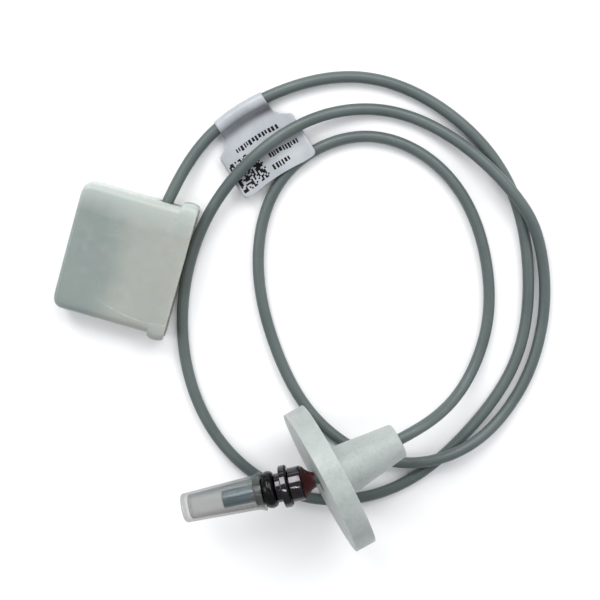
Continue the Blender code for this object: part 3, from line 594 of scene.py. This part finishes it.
def seal_finish():
    """Soft maroon compound with brighter crimson patches."""
    f = Finish("seal_maroon", PROBE, rough=0.34, glow_depth=0.08, glow_scale=MM)
    patch = f.span(f.noise(330, 4, 0.6, warp=0.8), 0.46, 0.62)
    f.colour(f.blend(patch, rgb(0.035, 0.003, 0.005), rgb(0.11, 0.006, 0.010)))
    f.rough(f.span(f.noise(600, 3), 0.3, 0.7, 0.24, 0.5))
    f.bump(f.noise(520, 4, 0.6), 0.12 * MM, 0.5)
    return f.material


def jacket_finish():
    """Grey-green cable jacket, satin, with scuffs and a faint drawn grain."""
    f = Finish("lead_jacket", rough=0.4)
    tone = f.span(f.noise(45, 4, 0.6), 0.3, 0.7)
    plain = f.blend(tone, rgb(0.061, 0.081, 0.078), rgb(0.085, 0.107, 0.102))
    scuff = f.span(f.noise(240, 5, 0.7, warp=0.6), 0.63, 0.72)
    f.colour(f.blend(scuff, plain, rgb(0.108, 0.131, 0.126)))
    f.rough(f.span(f.noise(800, 3), 0.3, 0.7, 0.34, 0.5))
    f.bump(f.noise(1600, 3), 0.03 * MM, 0.35)
    f.bump(f.noise(160, 2), 0.08 * MM, 0.3)
    return f.material


def core_finish():
    """Red insulation on a core."""
    f = Finish("core_insulation", rough=0.42)
    tone = f.span(f.noise(500, 3), 0.3, 0.7)
    f.colour(f.blend(tone, rgb(0.45, 0.05, 0.04), rgb(0.62, 0.09, 0.07)))
    f.bump(f.noise(2400, 3), 0.02 * MM, 0.3)
    return f.material


def label_finish():
    """White film with a slight lilac cast, creased, and darkened by painted shade where it turns down off the
    lead.
    """
    f = Finish("label_film", rough=0.36, coat=0.15, coat_rough=0.25)
    tone = f.span(f.noise(90, 3, 0.6), 0.3, 0.7)
    film = f.blend(tone, rgb(0.285, 0.305, 0.328), rgb(0.385, 0.405, 0.425))
    # Painted shade: the film goes nearly black where the mesh carries the crease's shade.
    f.colour(f.blend(f.marked("fold_shade"), film, rgb(0.022, 0.024, 0.030)))
    f.rough(f.span(f.noise(500, 3), 0.3, 0.7, 0.3, 0.46))
    f.bump(f.noise(120, 2, warp=0.5), 0.25 * MM, 0.35)
    return f.material


def housing_finish():
    """Beige moulding with a spark-eroded texture."""
    f = Finish("housing_plastic", rough=0.46)
    tone = f.span(f.noise(140, 3), 0.3, 0.7)
    f.colour(f.blend(tone, rgb(0.52, 0.475, 0.39), rgb(0.60, 0.55, 0.46)))
    f.rough(f.span(f.noise(900, 3), 0.3, 0.7, 0.38, 0.55))
    f.bump(f.noise(3200, 3), 0.04 * MM, 0.5)
    return f.material


def metal_finish(name, dull, bright, rough_low, rough_high):
    """Turned or drawn metal, a little uneven in tone, with fine hairlines."""
    f = Finish(name, metal=1.0, rough=rough_low)
    f.colour(f.blend(f.span(f.noise(400, 4, 0.6), 0.3, 0.7), dull, bright))
    hair = f.noise(1200, 3, 0.6, f.stretched((1.0, 1.0, 8.0)))
    f.rough(f.span(hair, 0.3, 0.7, rough_low, rough_high))
    f.bump(hair, 0.01 * MM, 0.3)
    return f.material


def moulding_finish(name, dark, light):
    """A small moulded or coated part with an even, finely pitted face."""
    rough = 0.45
    f = Finish(name, rough=rough)
    f.colour(f.blend(f.span(f.noise(300, 3), 0.3, 0.7), dark, light))
    f.rough(f.span(f.noise(1300, 3), 0.3, 0.7, rough * 0.8, rough * 1.2))
    f.bump(f.noise(2600, 3), 0.03 * MM, 0.5)
    return f.material


def ink_finish():
    """Black thermal print, slightly starved in places."""
    f = Finish("print_ink", rough=0.6, specular=0.12)
    starved = f.span(f.noise(1900, 3), 0.3, 0.75)
    f.colour(f.blend(starved, rgb(0.003, 0.003, 0.004), rgb(0.02, 0.02, 0.022)))
    f.bump(f.noise(3000, 2), 0.01 * MM, 0.3)
    return f.material


FINISHES = {
    "flange_plastic": flange_finish(),
    "cap_clear": cap_finish(),
    "cover_plastic": cover_finish(),
    "black_nickel": nickel_finish(),
    "filter_glass": filter_finish(),
    "black_rubber": ring_finish(),
    "seal_maroon": seal_finish(),
    "lead_jacket": jacket_finish(),
    "core_insulation": core_finish(),
    "label_film": label_finish(),
    "housing_plastic": housing_finish(),
    "contact_brass": metal_finish(
        "contact_brass", rgb(0.66, 0.47, 0.19), rgb(0.80, 0.61, 0.28), 0.16, 0.32
    ),
    "cell_metal": metal_finish(
        "cell_metal", rgb(0.50, 0.50, 0.52), rgb(0.66, 0.66, 0.68), 0.2, 0.36
    ),
    "board_green": moulding_finish(
        "board_green", rgb(0.02, 0.14, 0.06), rgb(0.04, 0.22, 0.1)
    ),
    "chip_black": moulding_finish(
        "chip_black", rgb(0.012, 0.012, 0.013), rgb(0.03, 0.03, 0.03)
    ),
    "screw_steel": metal_finish(
        "screw_steel", rgb(0.42, 0.42, 0.44), rgb(0.58, 0.58, 0.60), 0.22, 0.4
    ),
}


# ---- camera --------------------------------------------------------------------------------
CAMERA_AT = Vector((2.2, 126.6, 444.6)) * MM
CAMERA_TILT = math.radians(8.89)
CAMERA_LENS = 76.5
CAMERA_SENSOR = 36.0


def make_camera():
    data = bpy.data.cameras.new("camera")
    data.lens = CAMERA_LENS
    data.sensor_width = CAMERA_SENSOR
    camera = bpy.data.objects.new("camera", data)
    camera.location = CAMERA_AT
    camera.rotation_euler = (-CAMERA_TILT, 0.0, 0.0)
    bpy.context.scene.collection.objects.link(camera)
    bpy.context.scene.camera = camera


# ---- lead ----------------------------------------------------------------------------------
def free_lead_line(count):
    """The free lead's centreline, from just inside the boss's end to the plug's side."""
    boss_end = FLANGE_THICKNESS / 2 + BOSS_LENGTH
    start = FLANGE @ Vector((0.0, 0.0, boss_end + GAP))
    off = FLANGE @ Vector((0.0, 0.0, boss_end + 1.5 * LEAD_RADIUS))
    entry = Vector((LEAD_ENTRY, HOUSING_SIDE + GAP, PLUG_MIDDLE))
    lying = [Vector(p) * MM for p in LEAD_ROUTE]
    end = [PLUG @ (entry + LEAD_APPROACH), PLUG @ entry]
    line = smooth_line([start, off, *lying, *end], count)
    line[:, 2] = np.maximum(line[:, 2], LEAD_RADIUS + LEAD_LIFT)
    return line


def make_body_lead():
    """The lead from the probe's rear wall through the seal and the flange's bore."""
    face = -FLANGE_THICKNESS / 2
    inside = 0.45 * MM  # in front of the probe's rear face
    aside = 1.6 * MM  # off the flange's axis, where the lead enters its mouth
    end = FLANGE_THICKNESS / 2 + BOSS_LENGTH + GAP / 2
    knots = [
        PROBE @ Vector((0.0, 0.0, inside)),
        PROBE @ Vector((0.0, 0.0, -GAP - SEAL_LENGTH * 0.8)),
        FLANGE @ Vector((aside, -0.4 * aside, face)),
        FLANGE @ Vector((aside / 3, -0.13 * aside, face + BORE_TAPER * 0.55)),
        FLANGE @ Vector((0.0, 0.0, face + BORE_TAPER * 1.3)),
        FLANGE @ Vector((0.0, 0.0, end)),
    ]
    mesh = tube("probe_lead", smooth_line(knots, 80), LEAD_RADIUS)
    piece("probe_lead", mesh, "root", ["body_lead"], "lead_jacket")


# ---- flange --------------------------------------------------------------------------------
def make_flange():
    """The turned disc and boss, its edges broken and a small fillet where they meet."""
    half = FLANGE_THICKNESS / 2
    end = half + BOSS_LENGTH
    edge = 0.25 * MM
    outline = rounded(
        [
            (BORE_RADIUS, end - 1.2 * MM, 0),
            (BORE_RADIUS, end, 0.25 * MM),
            (BOSS_END_RADIUS, end, 0.9 * MM),
            (BOSS_BASE_RADIUS, half + 0.1 * MM, 1.0 * MM),
            (FLANGE_RADIUS, half, edge),
            (FLANGE_RADIUS, -half, edge),
            (BORE_MOUTH_RADIUS, -half, 0.4 * MM),
            (BORE_RADIUS, -half + BORE_TAPER, 2.0 * MM),
            (BORE_RADIUS, end - 2.0 * MM, 0),
        ]
    )
    turned_piece("turned_flange", outline, "flange", "flange_plastic", FLANGE, steps=240)


# ---- probe ---------------------------------------------------------------------------------
def make_probe_body():
    """The plated body: front collar, groove, neck and wide collar, its edges broken."""
    groove = RING_RADIUS - RING_HEIGHT - GAP
    fine, wide = 0.18 * MM, 0.35 * MM
    collar = REAR_SLEEVE_LENGTH + GAP
    outline = rounded(
        [
            (TUBE_RADIUS + GAP, BODY_FRONT - 1.5 * MM, 0),
            (TUBE_RADIUS + GAP, BODY_FRONT, fine),
            (FRONT_COLLAR_RADIUS, BODY_FRONT, wide),
            (FRONT_COLLAR_RADIUS, FRONT_COLLAR_AT, fine),
            (groove, FRONT_COLLAR_AT, fine),
            (groove, GROOVE_AT, fine),
            (NECK_RADIUS, GROOVE_AT, wide),
            (NECK_RADIUS, NECK_AT, fine),
            (COLLAR_RADIUS, NECK_AT, wide),
            (COLLAR_RADIUS, collar + 0.55 * MM, 0.12 * MM),
            (COLLAR_RADIUS - 0.5 * MM, collar, 0.12 * MM),
            (SPIGOT_RADIUS, collar, fine),
            (SPIGOT_RADIUS, collar - 2.0 * MM, 0),
            (SPIGOT_RADIUS - 1.0 * MM, collar - 2.0 * MM, 0),
        ]
    )
    turned_piece("plated_body", outline, "probe_body", "black_nickel", PROBE)


def make_rear_sleeve():
    """The plated sleeve on the spigot, closed round the lead at its rear."""
    hole = LEAD_RADIUS + GAP
    edge = 0.28 * MM
    wall = 0.9 * MM
    inside = SPIGOT_RADIUS + GAP
    outline = rounded(
        [
            (inside, REAR_SLEEVE_LENGTH - 1.0 * MM, 0),
            (inside, REAR_SLEEVE_LENGTH, 0.1 * MM),
            (REAR_SLEEVE_RADIUS, REAR_SLEEVE_LENGTH, edge),
            (REAR_SLEEVE_RADIUS, 0.0, edge),
            (hole, 0.0, 0.1 * MM),
            (hole, wall, 0.1 * MM),
            (inside, wall, 0),
        ]
    )
    turned_piece("plated_sleeve", outline, "rear_sleeve", "black_nickel", PROBE)


def make_sealing_ring():
    """The fat rubber ring, with its mould's faint flash line round the outside."""
    middle = RING_RADIUS - RING_HEIGHT / 2
    along = (GROOVE_AT + FRONT_COLLAR_AT) / 2
    flash = 0.03 * MM
    outline = []
    sides = 44
    for i in range(sides):
        angle = 2 * math.pi * i / sides
        height = RING_HEIGHT / 2 - (flash if i else 0.0)
        across = middle + height * math.cos(angle)
        outline.append((across, along - RING_WIDTH / 2 * math.sin(angle)))
    turned_piece("rubber_ring", outline, "sealing_ring", "black_rubber", PROBE)


def make_rear_seal():
    """The maroon seal: hollow-sided, drawn in to a soft lip on the lead."""
    hole = LEAD_RADIUS + 0.05 * MM
    base = REAR_SLEEVE_RADIUS - 0.25 * MM
    tip = LEAD_RADIUS + GAP + 0.5 * MM
    outline = [(hole, -GAP), (base - 0.3 * MM, -GAP)]
    steps, hollow = 28, 1.7
    for i in range(steps + 1):
        down = i / steps
        radius = tip + (base - tip) * (1 - down) ** hollow
        outline.append((radius, -GAP - 0.15 * MM - (SEAL_LENGTH - 0.35 * MM) * down))
    outline += [(tip - 0.15 * MM, -GAP - SEAL_LENGTH), (hole, -GAP - SEAL_LENGTH)]
    mesh = turned("drawn_seal", outline)
    # Its outside is slightly uneven, in two waves round it.
    unevenness = 0.012
    for vertex in mesh.vertices:
        spot = vertex.co
        if math.hypot(spot.x, spot.y) > hole + 0.1 * MM and spot.z < -GAP - 0.1 * MM:
            turn = math.atan2(spot.y, spot.x)
            wave = math.sin(3 * turn + 700 * spot.z) + 0.6 * math.sin(5 * turn - 1.3)
            spot.xy *= 1 - unevenness * (1 + wave)
    piece("drawn_seal", mesh, "root", ["rear_seal"], "seal_maroon", PROBE)


def make_sensor():
    """The dark sensor tube, its front edge rolled in, and the window in it."""
    inside = TUBE_RADIUS - 0.6 * MM
    outline = rounded(
        [
            (inside, TUBE_REAR, 0),
            (inside, TUBE_FRONT, 0.12 * MM),
            (TUBE_RADIUS, TUBE_FRONT, 0.45 * MM),
            (TUBE_RADIUS, TUBE_REAR, 0),
        ]
    )
    turned_piece("sensor_sleeve", outline, "sensor_tube", "filter_glass", PROBE)
    glass = inside - 0.1 * MM
    front = TUBE_FRONT - 0.15 * MM
    back = TUBE_FRONT - 1.0 * MM
    outline = rounded(
        [
            (0.0, front, 0),
            (glass * 0.6, front - 0.05 * MM, glass * 0.2),
            (glass, front - 0.22 * MM, 0.1 * MM),
            (glass, back, 0.05 * MM),
            (0.0, back, 0),
        ]
    )
    slot = "filter_glass"
    turned_piece("sensor_window", outline, "front_window", slot, PROBE, closed=False)


def make_cap():
    """The clear cap: thick flat end, slight taper, flared mouth with a rolled lip."""
    mouth = FRONT_COLLAR_AT
    end = mouth + CAP_LENGTH
    outer = CAP_MOUTH_RADIUS + CAP_WALL
    steps = 12
    flare = []
    for k in range(steps + 1):
        share = 1 - k / steps
        height = mouth + CAP_FLARE_LENGTH * (1 - share)
        flare.append((outer + CAP_FLARE * share**2, height))
    lip = 0.35 * MM
    outline = [(0.0, end, 0), (CAP_END_RADIUS, end, 1.2 * MM)]
    outline += [(r, z, 0) for r, z in reversed(flare[1:])]
    outline += [(flare[0][0], mouth, lip), (flare[0][0] - CAP_WALL, mouth, lip)]
    outline += [(r - CAP_WALL, z, 0) for r, z in flare[1:]]
    inner_end = CAP_END_RADIUS - CAP_WALL
    outline += [(inner_end, end - CAP_END_THICKNESS, 0.7 * MM)]
    outline += [(0.0, end - CAP_END_THICKNESS, 0)]
    outline = rounded(outline)
    turned_piece("moulded_cap", outline, "tip_cap", "cap_clear", PROBE, "tip_cap", closed=False)


# ---- plug and its cover --------------------------------------------------------------------
def drawn_in(along, reach):
    """How far the cover's side is in from its full size, where its closed end is rounded."""
    into = min((along + COVER_LENGTH / 2) / reach, 1.0)
    return reach * (1 - math.sqrt(max(1 - (1 - into) ** 2, 0.0)))


def cover_station(along):
    """The cover's half width and half height at a place along its length."""
    width = COVER_WIDTH / 2 - drawn_in(along, COVER_CORNER)
    height = COVER_HEIGHT / 2 - COVER_SKIN - drawn_in(along, COVER_EDGE)
    into_rim = (along - COVER_LENGTH / 2) / RIM_LENGTH
    if into_rim > 0:
        swell = math.sin(math.pi * (BEAD_FOOT + (1 - 2 * BEAD_FOOT) * into_rim)) ** BEAD_ROUND
        width += RIM_OVERHANG * swell
    return width, height


def cover_section(along, inset):
    """Points round the cover at a place along its length, moved in by inset."""
    flat_steps, corner_steps = 14, 7
    width, height = cover_station(along)
    width, height = width - inset, height - inset
    corner = min(COVER_SIDE_CORNER - inset * 0.6, height * 0.9)
    crown = COVER_CROWN * min((along + COVER_LENGTH / 2) / COVER_CROWN_RUN, 1.0)
    points = []
    for side in range(4):
        across, up = (height, width) if side % 2 else (width, height)
        flat = across - corner
        edge = []
        for k in range(flat_steps):
            x = flat * (2 * k / flat_steps - 1)
            hollow = 0.0 if side % 2 else crown * (1 - (x / flat) ** 2)
            edge.append((x, hollow - up))
        for k in range(corner_steps):
            a = math.pi / 2 * k / corner_steps
            edge.append((flat + corner * math.sin(a), corner - up - corner * math.cos(a)))
        cos, sin = math.cos(side * math.pi / 2), math.sin(side * math.pi / 2)
        points += [(x * cos - y * sin, x * sin + y * cos) for x, y in edge]
    return [Vector((along, u, v + PLUG_MIDDLE)) for u, v in points]


def make_cover():
    """The slip-on cover: one soft shell, crowned in, with a bead round its mouth."""
    end, rim, mouth = -COVER_LENGTH / 2, COVER_LENGTH / 2, COVER_LENGTH / 2 + RIM_LENGTH
    turns = np.linspace(0.0, math.pi / 2, 13)
    nose = [end + COVER_CORNER * (1 - math.cos(a)) for a in turns]
    nose[0] = end + 0.02 * MM
    sides = list(np.linspace(end + COVER_CORNER, rim, 14))[1:]
    bead = list(np.linspace(rim, mouth, 23))[1:]
    outside = [(x, 0.0) for x in nose + sides + bead]
    outside[-1] = (mouth - 0.12 * MM, 0.0)
    # The inside starts further along than the outside, which leaves the end its wall.
    inside = [(x, COVER_WALL) for x in reversed(nose[5:] + sides + bead)]
    stations = [*outside, (mouth, COVER_WALL * 0.5), *inside]
    shape = bmesh.new()
    rings = []
    for along, inset in stations:
        rings.append([shape.verts.new(p) for p in cover_section(along, inset)])
    count = len(rings[0])
    for one, two in zip(rings, rings[1:]):
        for k in range(count):
            shape.faces.new((one[k], one[(k + 1) % count], two[(k + 1) % count], two[k]))
    shape.faces.new(list(reversed(rings[0])))
    shape.faces.new(rings[-1])
    mesh = cut_slot(from_shape("soft_cover", shape, COVER_SHARP))
    return piece("soft_cover", mesh, "plug_cover", ["plug_cover"], "cover_plastic", PLUG)


def cut_slot(whole):
    """Cuts the lead's slot through the cover's side, open at its mouth, with a round end."""
    shape = bmesh.new()
    low, high = PLUG_MIDDLE - SLOT_BELOW, PLUG_MIDDLE + SLOT_HALF
    middle, radius = (low + high) / 2, (high - low) / 2
    start = LEAD_ENTRY - SLOT_HALF + radius
    turns = np.linspace(math.pi / 2, 3 * math.pi / 2, 17)
    outline = [(start + radius * math.cos(a), middle + radius * math.sin(a)) for a in turns]
    past = COVER_LENGTH / 2 + RIM_LENGTH + 2 * MM
    outline += [(past, low), (past, high)]
    inner, outer = COVER_WIDTH / 2 - 2 * COVER_WALL, COVER_WIDTH / 2 + 2 * RIM_OVERHANG
    near = [shape.verts.new((x, inner, z)) for x, z in outline]
    far = [shape.verts.new((x, outer, z)) for x, z in outline]
    shape.faces.new(near)
    shape.faces.new(list(reversed(far)))
    for k in range(len(outline)):
        j = (k + 1) % len(outline)
        shape.faces.new((near[k], far[k], far[j], near[j]))
    bmesh.ops.recalc_face_normals(shape, faces=shape.faces)
    mesh = bpy.data.meshes.new("slot")
    shape.to_mesh(mesh)
    shape.free()
    scratch = [bpy.data.objects.new("cover", whole), bpy.data.objects.new("slot", mesh)]
    for thing in scratch:
        bpy.context.scene.collection.objects.link(thing)
    boolean = scratch[0].modifiers.new("slot", "BOOLEAN")
    boolean.operation = "DIFFERENCE"
    boolean.object = scratch[1]
    bpy.context.view_layer.update()
    depsgraph = bpy.context.evaluated_depsgraph_get()
    cut = bpy.data.meshes.new_from_object(scratch[0].evaluated_get(depsgraph))
    cut.name = whole.name
    cut.shade_smooth()
    cut.set_sharp_from_angle(angle=math.radians(COVER_SHARP))
    for thing in scratch:
        bpy.data.objects.remove(thing)
    return cut


def make_plug():
    """The plug under the cover: rounded shells, carrier, clamp and turned pins."""
    made = [
        softened("plug_housing_lower", "lower_shell", 0.45 * MM, "housing_plastic"),
        softened("plug_housing_upper", "upper_shell", 0.45 * MM, "housing_plastic"),
        softened("contact_block", "pin_carrier", 0.25 * MM, "chip_black"),
        softened("cable_clamp", "lead_clamp", 0.4 * MM, "chip_black"),
    ]
    axis = Vector(JOINTS["cover_slide"]["axis"])
    outline = rounded(
        [
            (0.0, CONTACT_HALF, 0),
            (CONTACT_RADIUS * 0.75, CONTACT_HALF, 0.4 * MM),
            (CONTACT_RADIUS, CONTACT_HALF - 1.1 * MM, 0.5 * MM),
            (CONTACT_RADIUS, -CONTACT_HALF, 0.15 * MM),
            (0.0, -CONTACT_HALF, 0),
        ]
    )
    how = {"steps": 40, "closed": False}
    for number in range(1, 6):
        node = f"contact_{number}"
        place = frame_at(box_middle(node), axis, UP)
        pin = turned_piece(f"pin_{number}", outline, node, "contact_brass", place, **how)
        made.append(pin)
    return made


# ---- flag label ----------------------------------------------------------------------------
def label_half_width(reach):
    """Half the label's width at a distance from the lead: neck, hollow shoulder, flag."""
    neck, flag = LABEL_NECK_WIDTH / 2, LABEL_FLAG_WIDTH / 2
    start, stop = LABEL_SHOULDER
    share = min(max((reach - start) / (stop - start), 0.0), 1.0)
    width = neck + (flag - neck) * share**2.2
    into_corner = reach - (LABEL_REACH - LABEL_CORNER)
    if into_corner > 0:
        width -= LABEL_CORNER - math.sqrt(max(LABEL_CORNER**2 - into_corner**2, 0.0))
    return width


def label_lift(reach):
    """How high the label's middle is over the lead's: it rises, and sags on the way."""
    share = min(reach / LABEL_REACH, 1.0)
    return LABEL_RISE * share - LABEL_SAG * math.sin(math.pi * share) ** 2


class LabelPlace:
    """Where the label's film lies, by its distances along and out from the lead."""

    def __init__(self, line):
        self.line = line
        step = np.linalg.norm(np.diff(line, axis=0), axis=1)
        self.run = np.concatenate([[0.0], np.cumsum(step)])
        self.middle = self.run[-1] - LABEL_FROM_PLUG
        self.span = LABEL_NECK_WIDTH / 2
        self.along = self.lead_at(self.span) - self.lead_at(-self.span)
        self.along.z = 0.0
        self.along.normalize()
        self.across = self.along.cross(UP)

    def lead_at(self, offset):
        at = self.middle - offset
        return Vector([float(np.interp(at, self.run, self.line[:, k])) for k in range(3)])

    def spot(self, offset, reach, height):
        held = min(max(offset, -self.span), self.span)
        straight = self.lead_at(held) + self.along * (offset - held)
        return straight + self.across * reach + Vector((0.0, 0.0, height))

    def top(self, offset, reach, above):
        """A point above the upper film."""
        height = label_lift(reach) + LABEL_LAYER_GAP / 2 + LABEL_FILM / 2 + above
        return self.spot(offset, reach, height)


def make_label(place):
    """A flag of film wrapped round the lead and stuck to itself."""
    around = LEAD_RADIUS + GAP + LABEL_FILM
    half_gap = LABEL_LAYER_GAP / 2
    start = math.degrees(math.asin(half_gap / around))
    first = around * math.cos(math.radians(start)) + LABEL_OFF_LEAD
    stops = list(np.linspace(first, LABEL_REACH - LABEL_CORNER, 26))
    steps = 8
    for k in range(1, steps + 1):
        stops.append(LABEL_REACH - LABEL_CORNER * (1 - k / steps) ** 2)
    rows = [(reach, label_lift(reach) - half_gap, reach) for reach in reversed(stops)]
    # Round the lead, in degrees from the flag: from under its lower film to its upper one.
    turns = np.radians(np.linspace(-start - 8, start - 344, 44))
    rows += [(around * math.cos(a), around * math.sin(a), 0.0) for a in turns]
    rows += [(reach, label_lift(reach) + half_gap, reach) for reach in stops]
    columns = 33
    shape = bmesh.new()
    fold_shade = shape.verts.layers.float.new("fold_shade")
    grid = []
    for reach, height, width_at in rows:
        half = label_half_width(width_at)
        offsets = [half * (2 * j / (columns - 1) - 1) for j in range(columns)]
        grid.append([shape.verts.new(place.spot(o, reach, height)) for o in offsets])
        for offset, vertex in zip(offsets, grid[-1]):
            # Painted shade for the film's colour, strongest near the crease and towards one end.
            strength = FOLD_SHADE_STRENGTH[0] + FOLD_SHADE_STRENGTH[1] * offset / half
            vertex[fold_shade] = strength * math.exp(-(((reach - FOLD_AT) / FOLD_SPREAD) ** 2))
    for one, two in zip(grid, grid[1:]):
        for j in range(columns - 1):
            shape.faces.new((one[j], one[j + 1], two[j + 1], two[j]))
    mesh = from_shape("film_flag", shape, 60)
    label = piece("film_flag", mesh, "root", ["flag_label"], "label_film")
    solid = label.modifiers.new("film", "SOLIDIFY")
    solid.thickness = LABEL_FILM
    solid.offset = 0.0
    return label


def make_print(place):
    """Generic print on the flag: rows of plain dashes and a block of random cells."""
    shape = bmesh.new()
    draw = random.Random(PRINT_SEED)

    def patch(low, near, wide, tall):
        spots = ((low, near), (low + wide, near), (low + wide, near + tall), (low, near + tall))
        corners = [place.top(o * MM, reach * MM, PRINT_LIFT) for o, reach in spots]
        shape.faces.new([shape.verts.new(corner) for corner in corners])

    for near, start, stop in PRINT_ROWS:
        at = start
        while at < stop:
            wide, tall = draw.uniform(*DASH_WIDTH), draw.uniform(*DASH_HEIGHT)
            patch(at, near, wide, tall)
            at += wide + draw.uniform(*DASH_GAP)
    near, start = PRINT_BLOCK
    for i in range(PRINT_CELLS):
        for j in range(PRINT_CELLS):
            if draw.random() < PRINT_FILLED:
                low, first = start + i * PRINT_CELL, near + j * PRINT_CELL
                patch(low, first, PRINT_CELL, PRINT_CELL)
    mesh = from_shape("flag_print", shape)
    printed = piece("flag_print", mesh, "root")
    ink = printed.modifiers.new("ink", "SOLIDIFY")
    ink.thickness = INK_THICKNESS
    mesh.materials.append(ink_finish())
    return printed


# ---- surroundings --------------------------------------------------------------------------
FLOOR_HALF = 4.0
LIGHTS_AIM = Vector((0.0, 0.05, 0.0))

# Each light's name, place, size and power. The key is from the far right, and the band and
# the line are there for the plated body to mirror.
LIGHTS = [
    ("key", (0.60, 1.25, 1.30), (1.5, 1.1), 23.0),
    ("side", (1.50, 0.05, 1.00), (0.6, 1.2), 6.0),
    ("left", (-1.40, 0.20, 1.10), (0.6, 1.0), 8.0),
    ("band", (-0.50, 1.05, 0.95), (0.50, 1.00), 12.0),
    ("line", (-0.18, -0.14, 1.37), (0.30, 0.06), 1.3),
]
SURROUND_STRENGTH = 0.46


def make_floor():
    """A plain pale floor, a little uneven in tone."""
    mesh = bpy.data.meshes.new("floor")
    shape = bmesh.new()
    bmesh.ops.create_grid(shape, x_segments=1, y_segments=1, size=FLOOR_HALF)
    shape.to_mesh(mesh)
    shape.free()
    floor = bpy.data.objects.new("floor", mesh)
    bpy.context.scene.collection.objects.link(floor)
    finish = Finish("floor_paper", rough=0.7)
    tone = finish.span(finish.noise(3, 2), 0.3, 0.7)
    finish.colour(finish.blend(tone, rgb(0.86, 0.86, 0.86), rgb(0.88, 0.88, 0.88)))
    mesh.materials.append(finish.material)


def area_light(name, place, size, power):
    data = bpy.data.lights.new(name, "AREA")
    data.shape = "RECTANGLE"
    data.size, data.size_y = size
    data.energy = power
    light = bpy.data.objects.new(name, data)
    light.location = place
    light.rotation_euler = (LIGHTS_AIM - Vector(place)).to_track_quat("-Z", "Y").to_euler()
    bpy.context.scene.collection.objects.link(light)


def make_lights():
    """The soft lights and a pale surround."""
    for row in LIGHTS:
        area_light(*row)
    world = bpy.data.worlds.new("surround")
    world.use_nodes = True
    back = world.node_tree.nodes["Background"]
    back.inputs["Color"].default_value = rgb(0.93, 0.95, 1.0)
    back.inputs["Strength"].default_value = SURROUND_STRENGTH
    bpy.context.scene.world = world
    bpy.context.scene.view_settings.view_transform = "Standard"


# ---- making --------------------------------------------------------------------------------
make_camera()
lead_line = free_lead_line(LEAD_POINTS)
lead_mesh = tube("free_lead", lead_line, LEAD_RADIUS)
lead = piece("free_lead", lead_mesh, "root", ["lead_cable"], "lead_jacket")
make_body_lead()
make_flange()
make_probe_body()
make_rear_sleeve()
make_sealing_ring()
make_rear_seal()
make_sensor()
make_cap()
cover = make_cover()
plug_pieces = make_plug()
label_place = LabelPlace(lead_line)
label = make_label(label_place)
flag_print = make_print(label_place)

# The CAD nodes that no piece stands for keep their shape and get a finish.
for row in frame["record"]["subparts"]:
    node = NODES[row["node"]]
    if not node.hide_render:
        node.data.materials.clear()
        node.data.materials.append(FINISHES[row["material_slot"]])
make_floor()
make_lights()
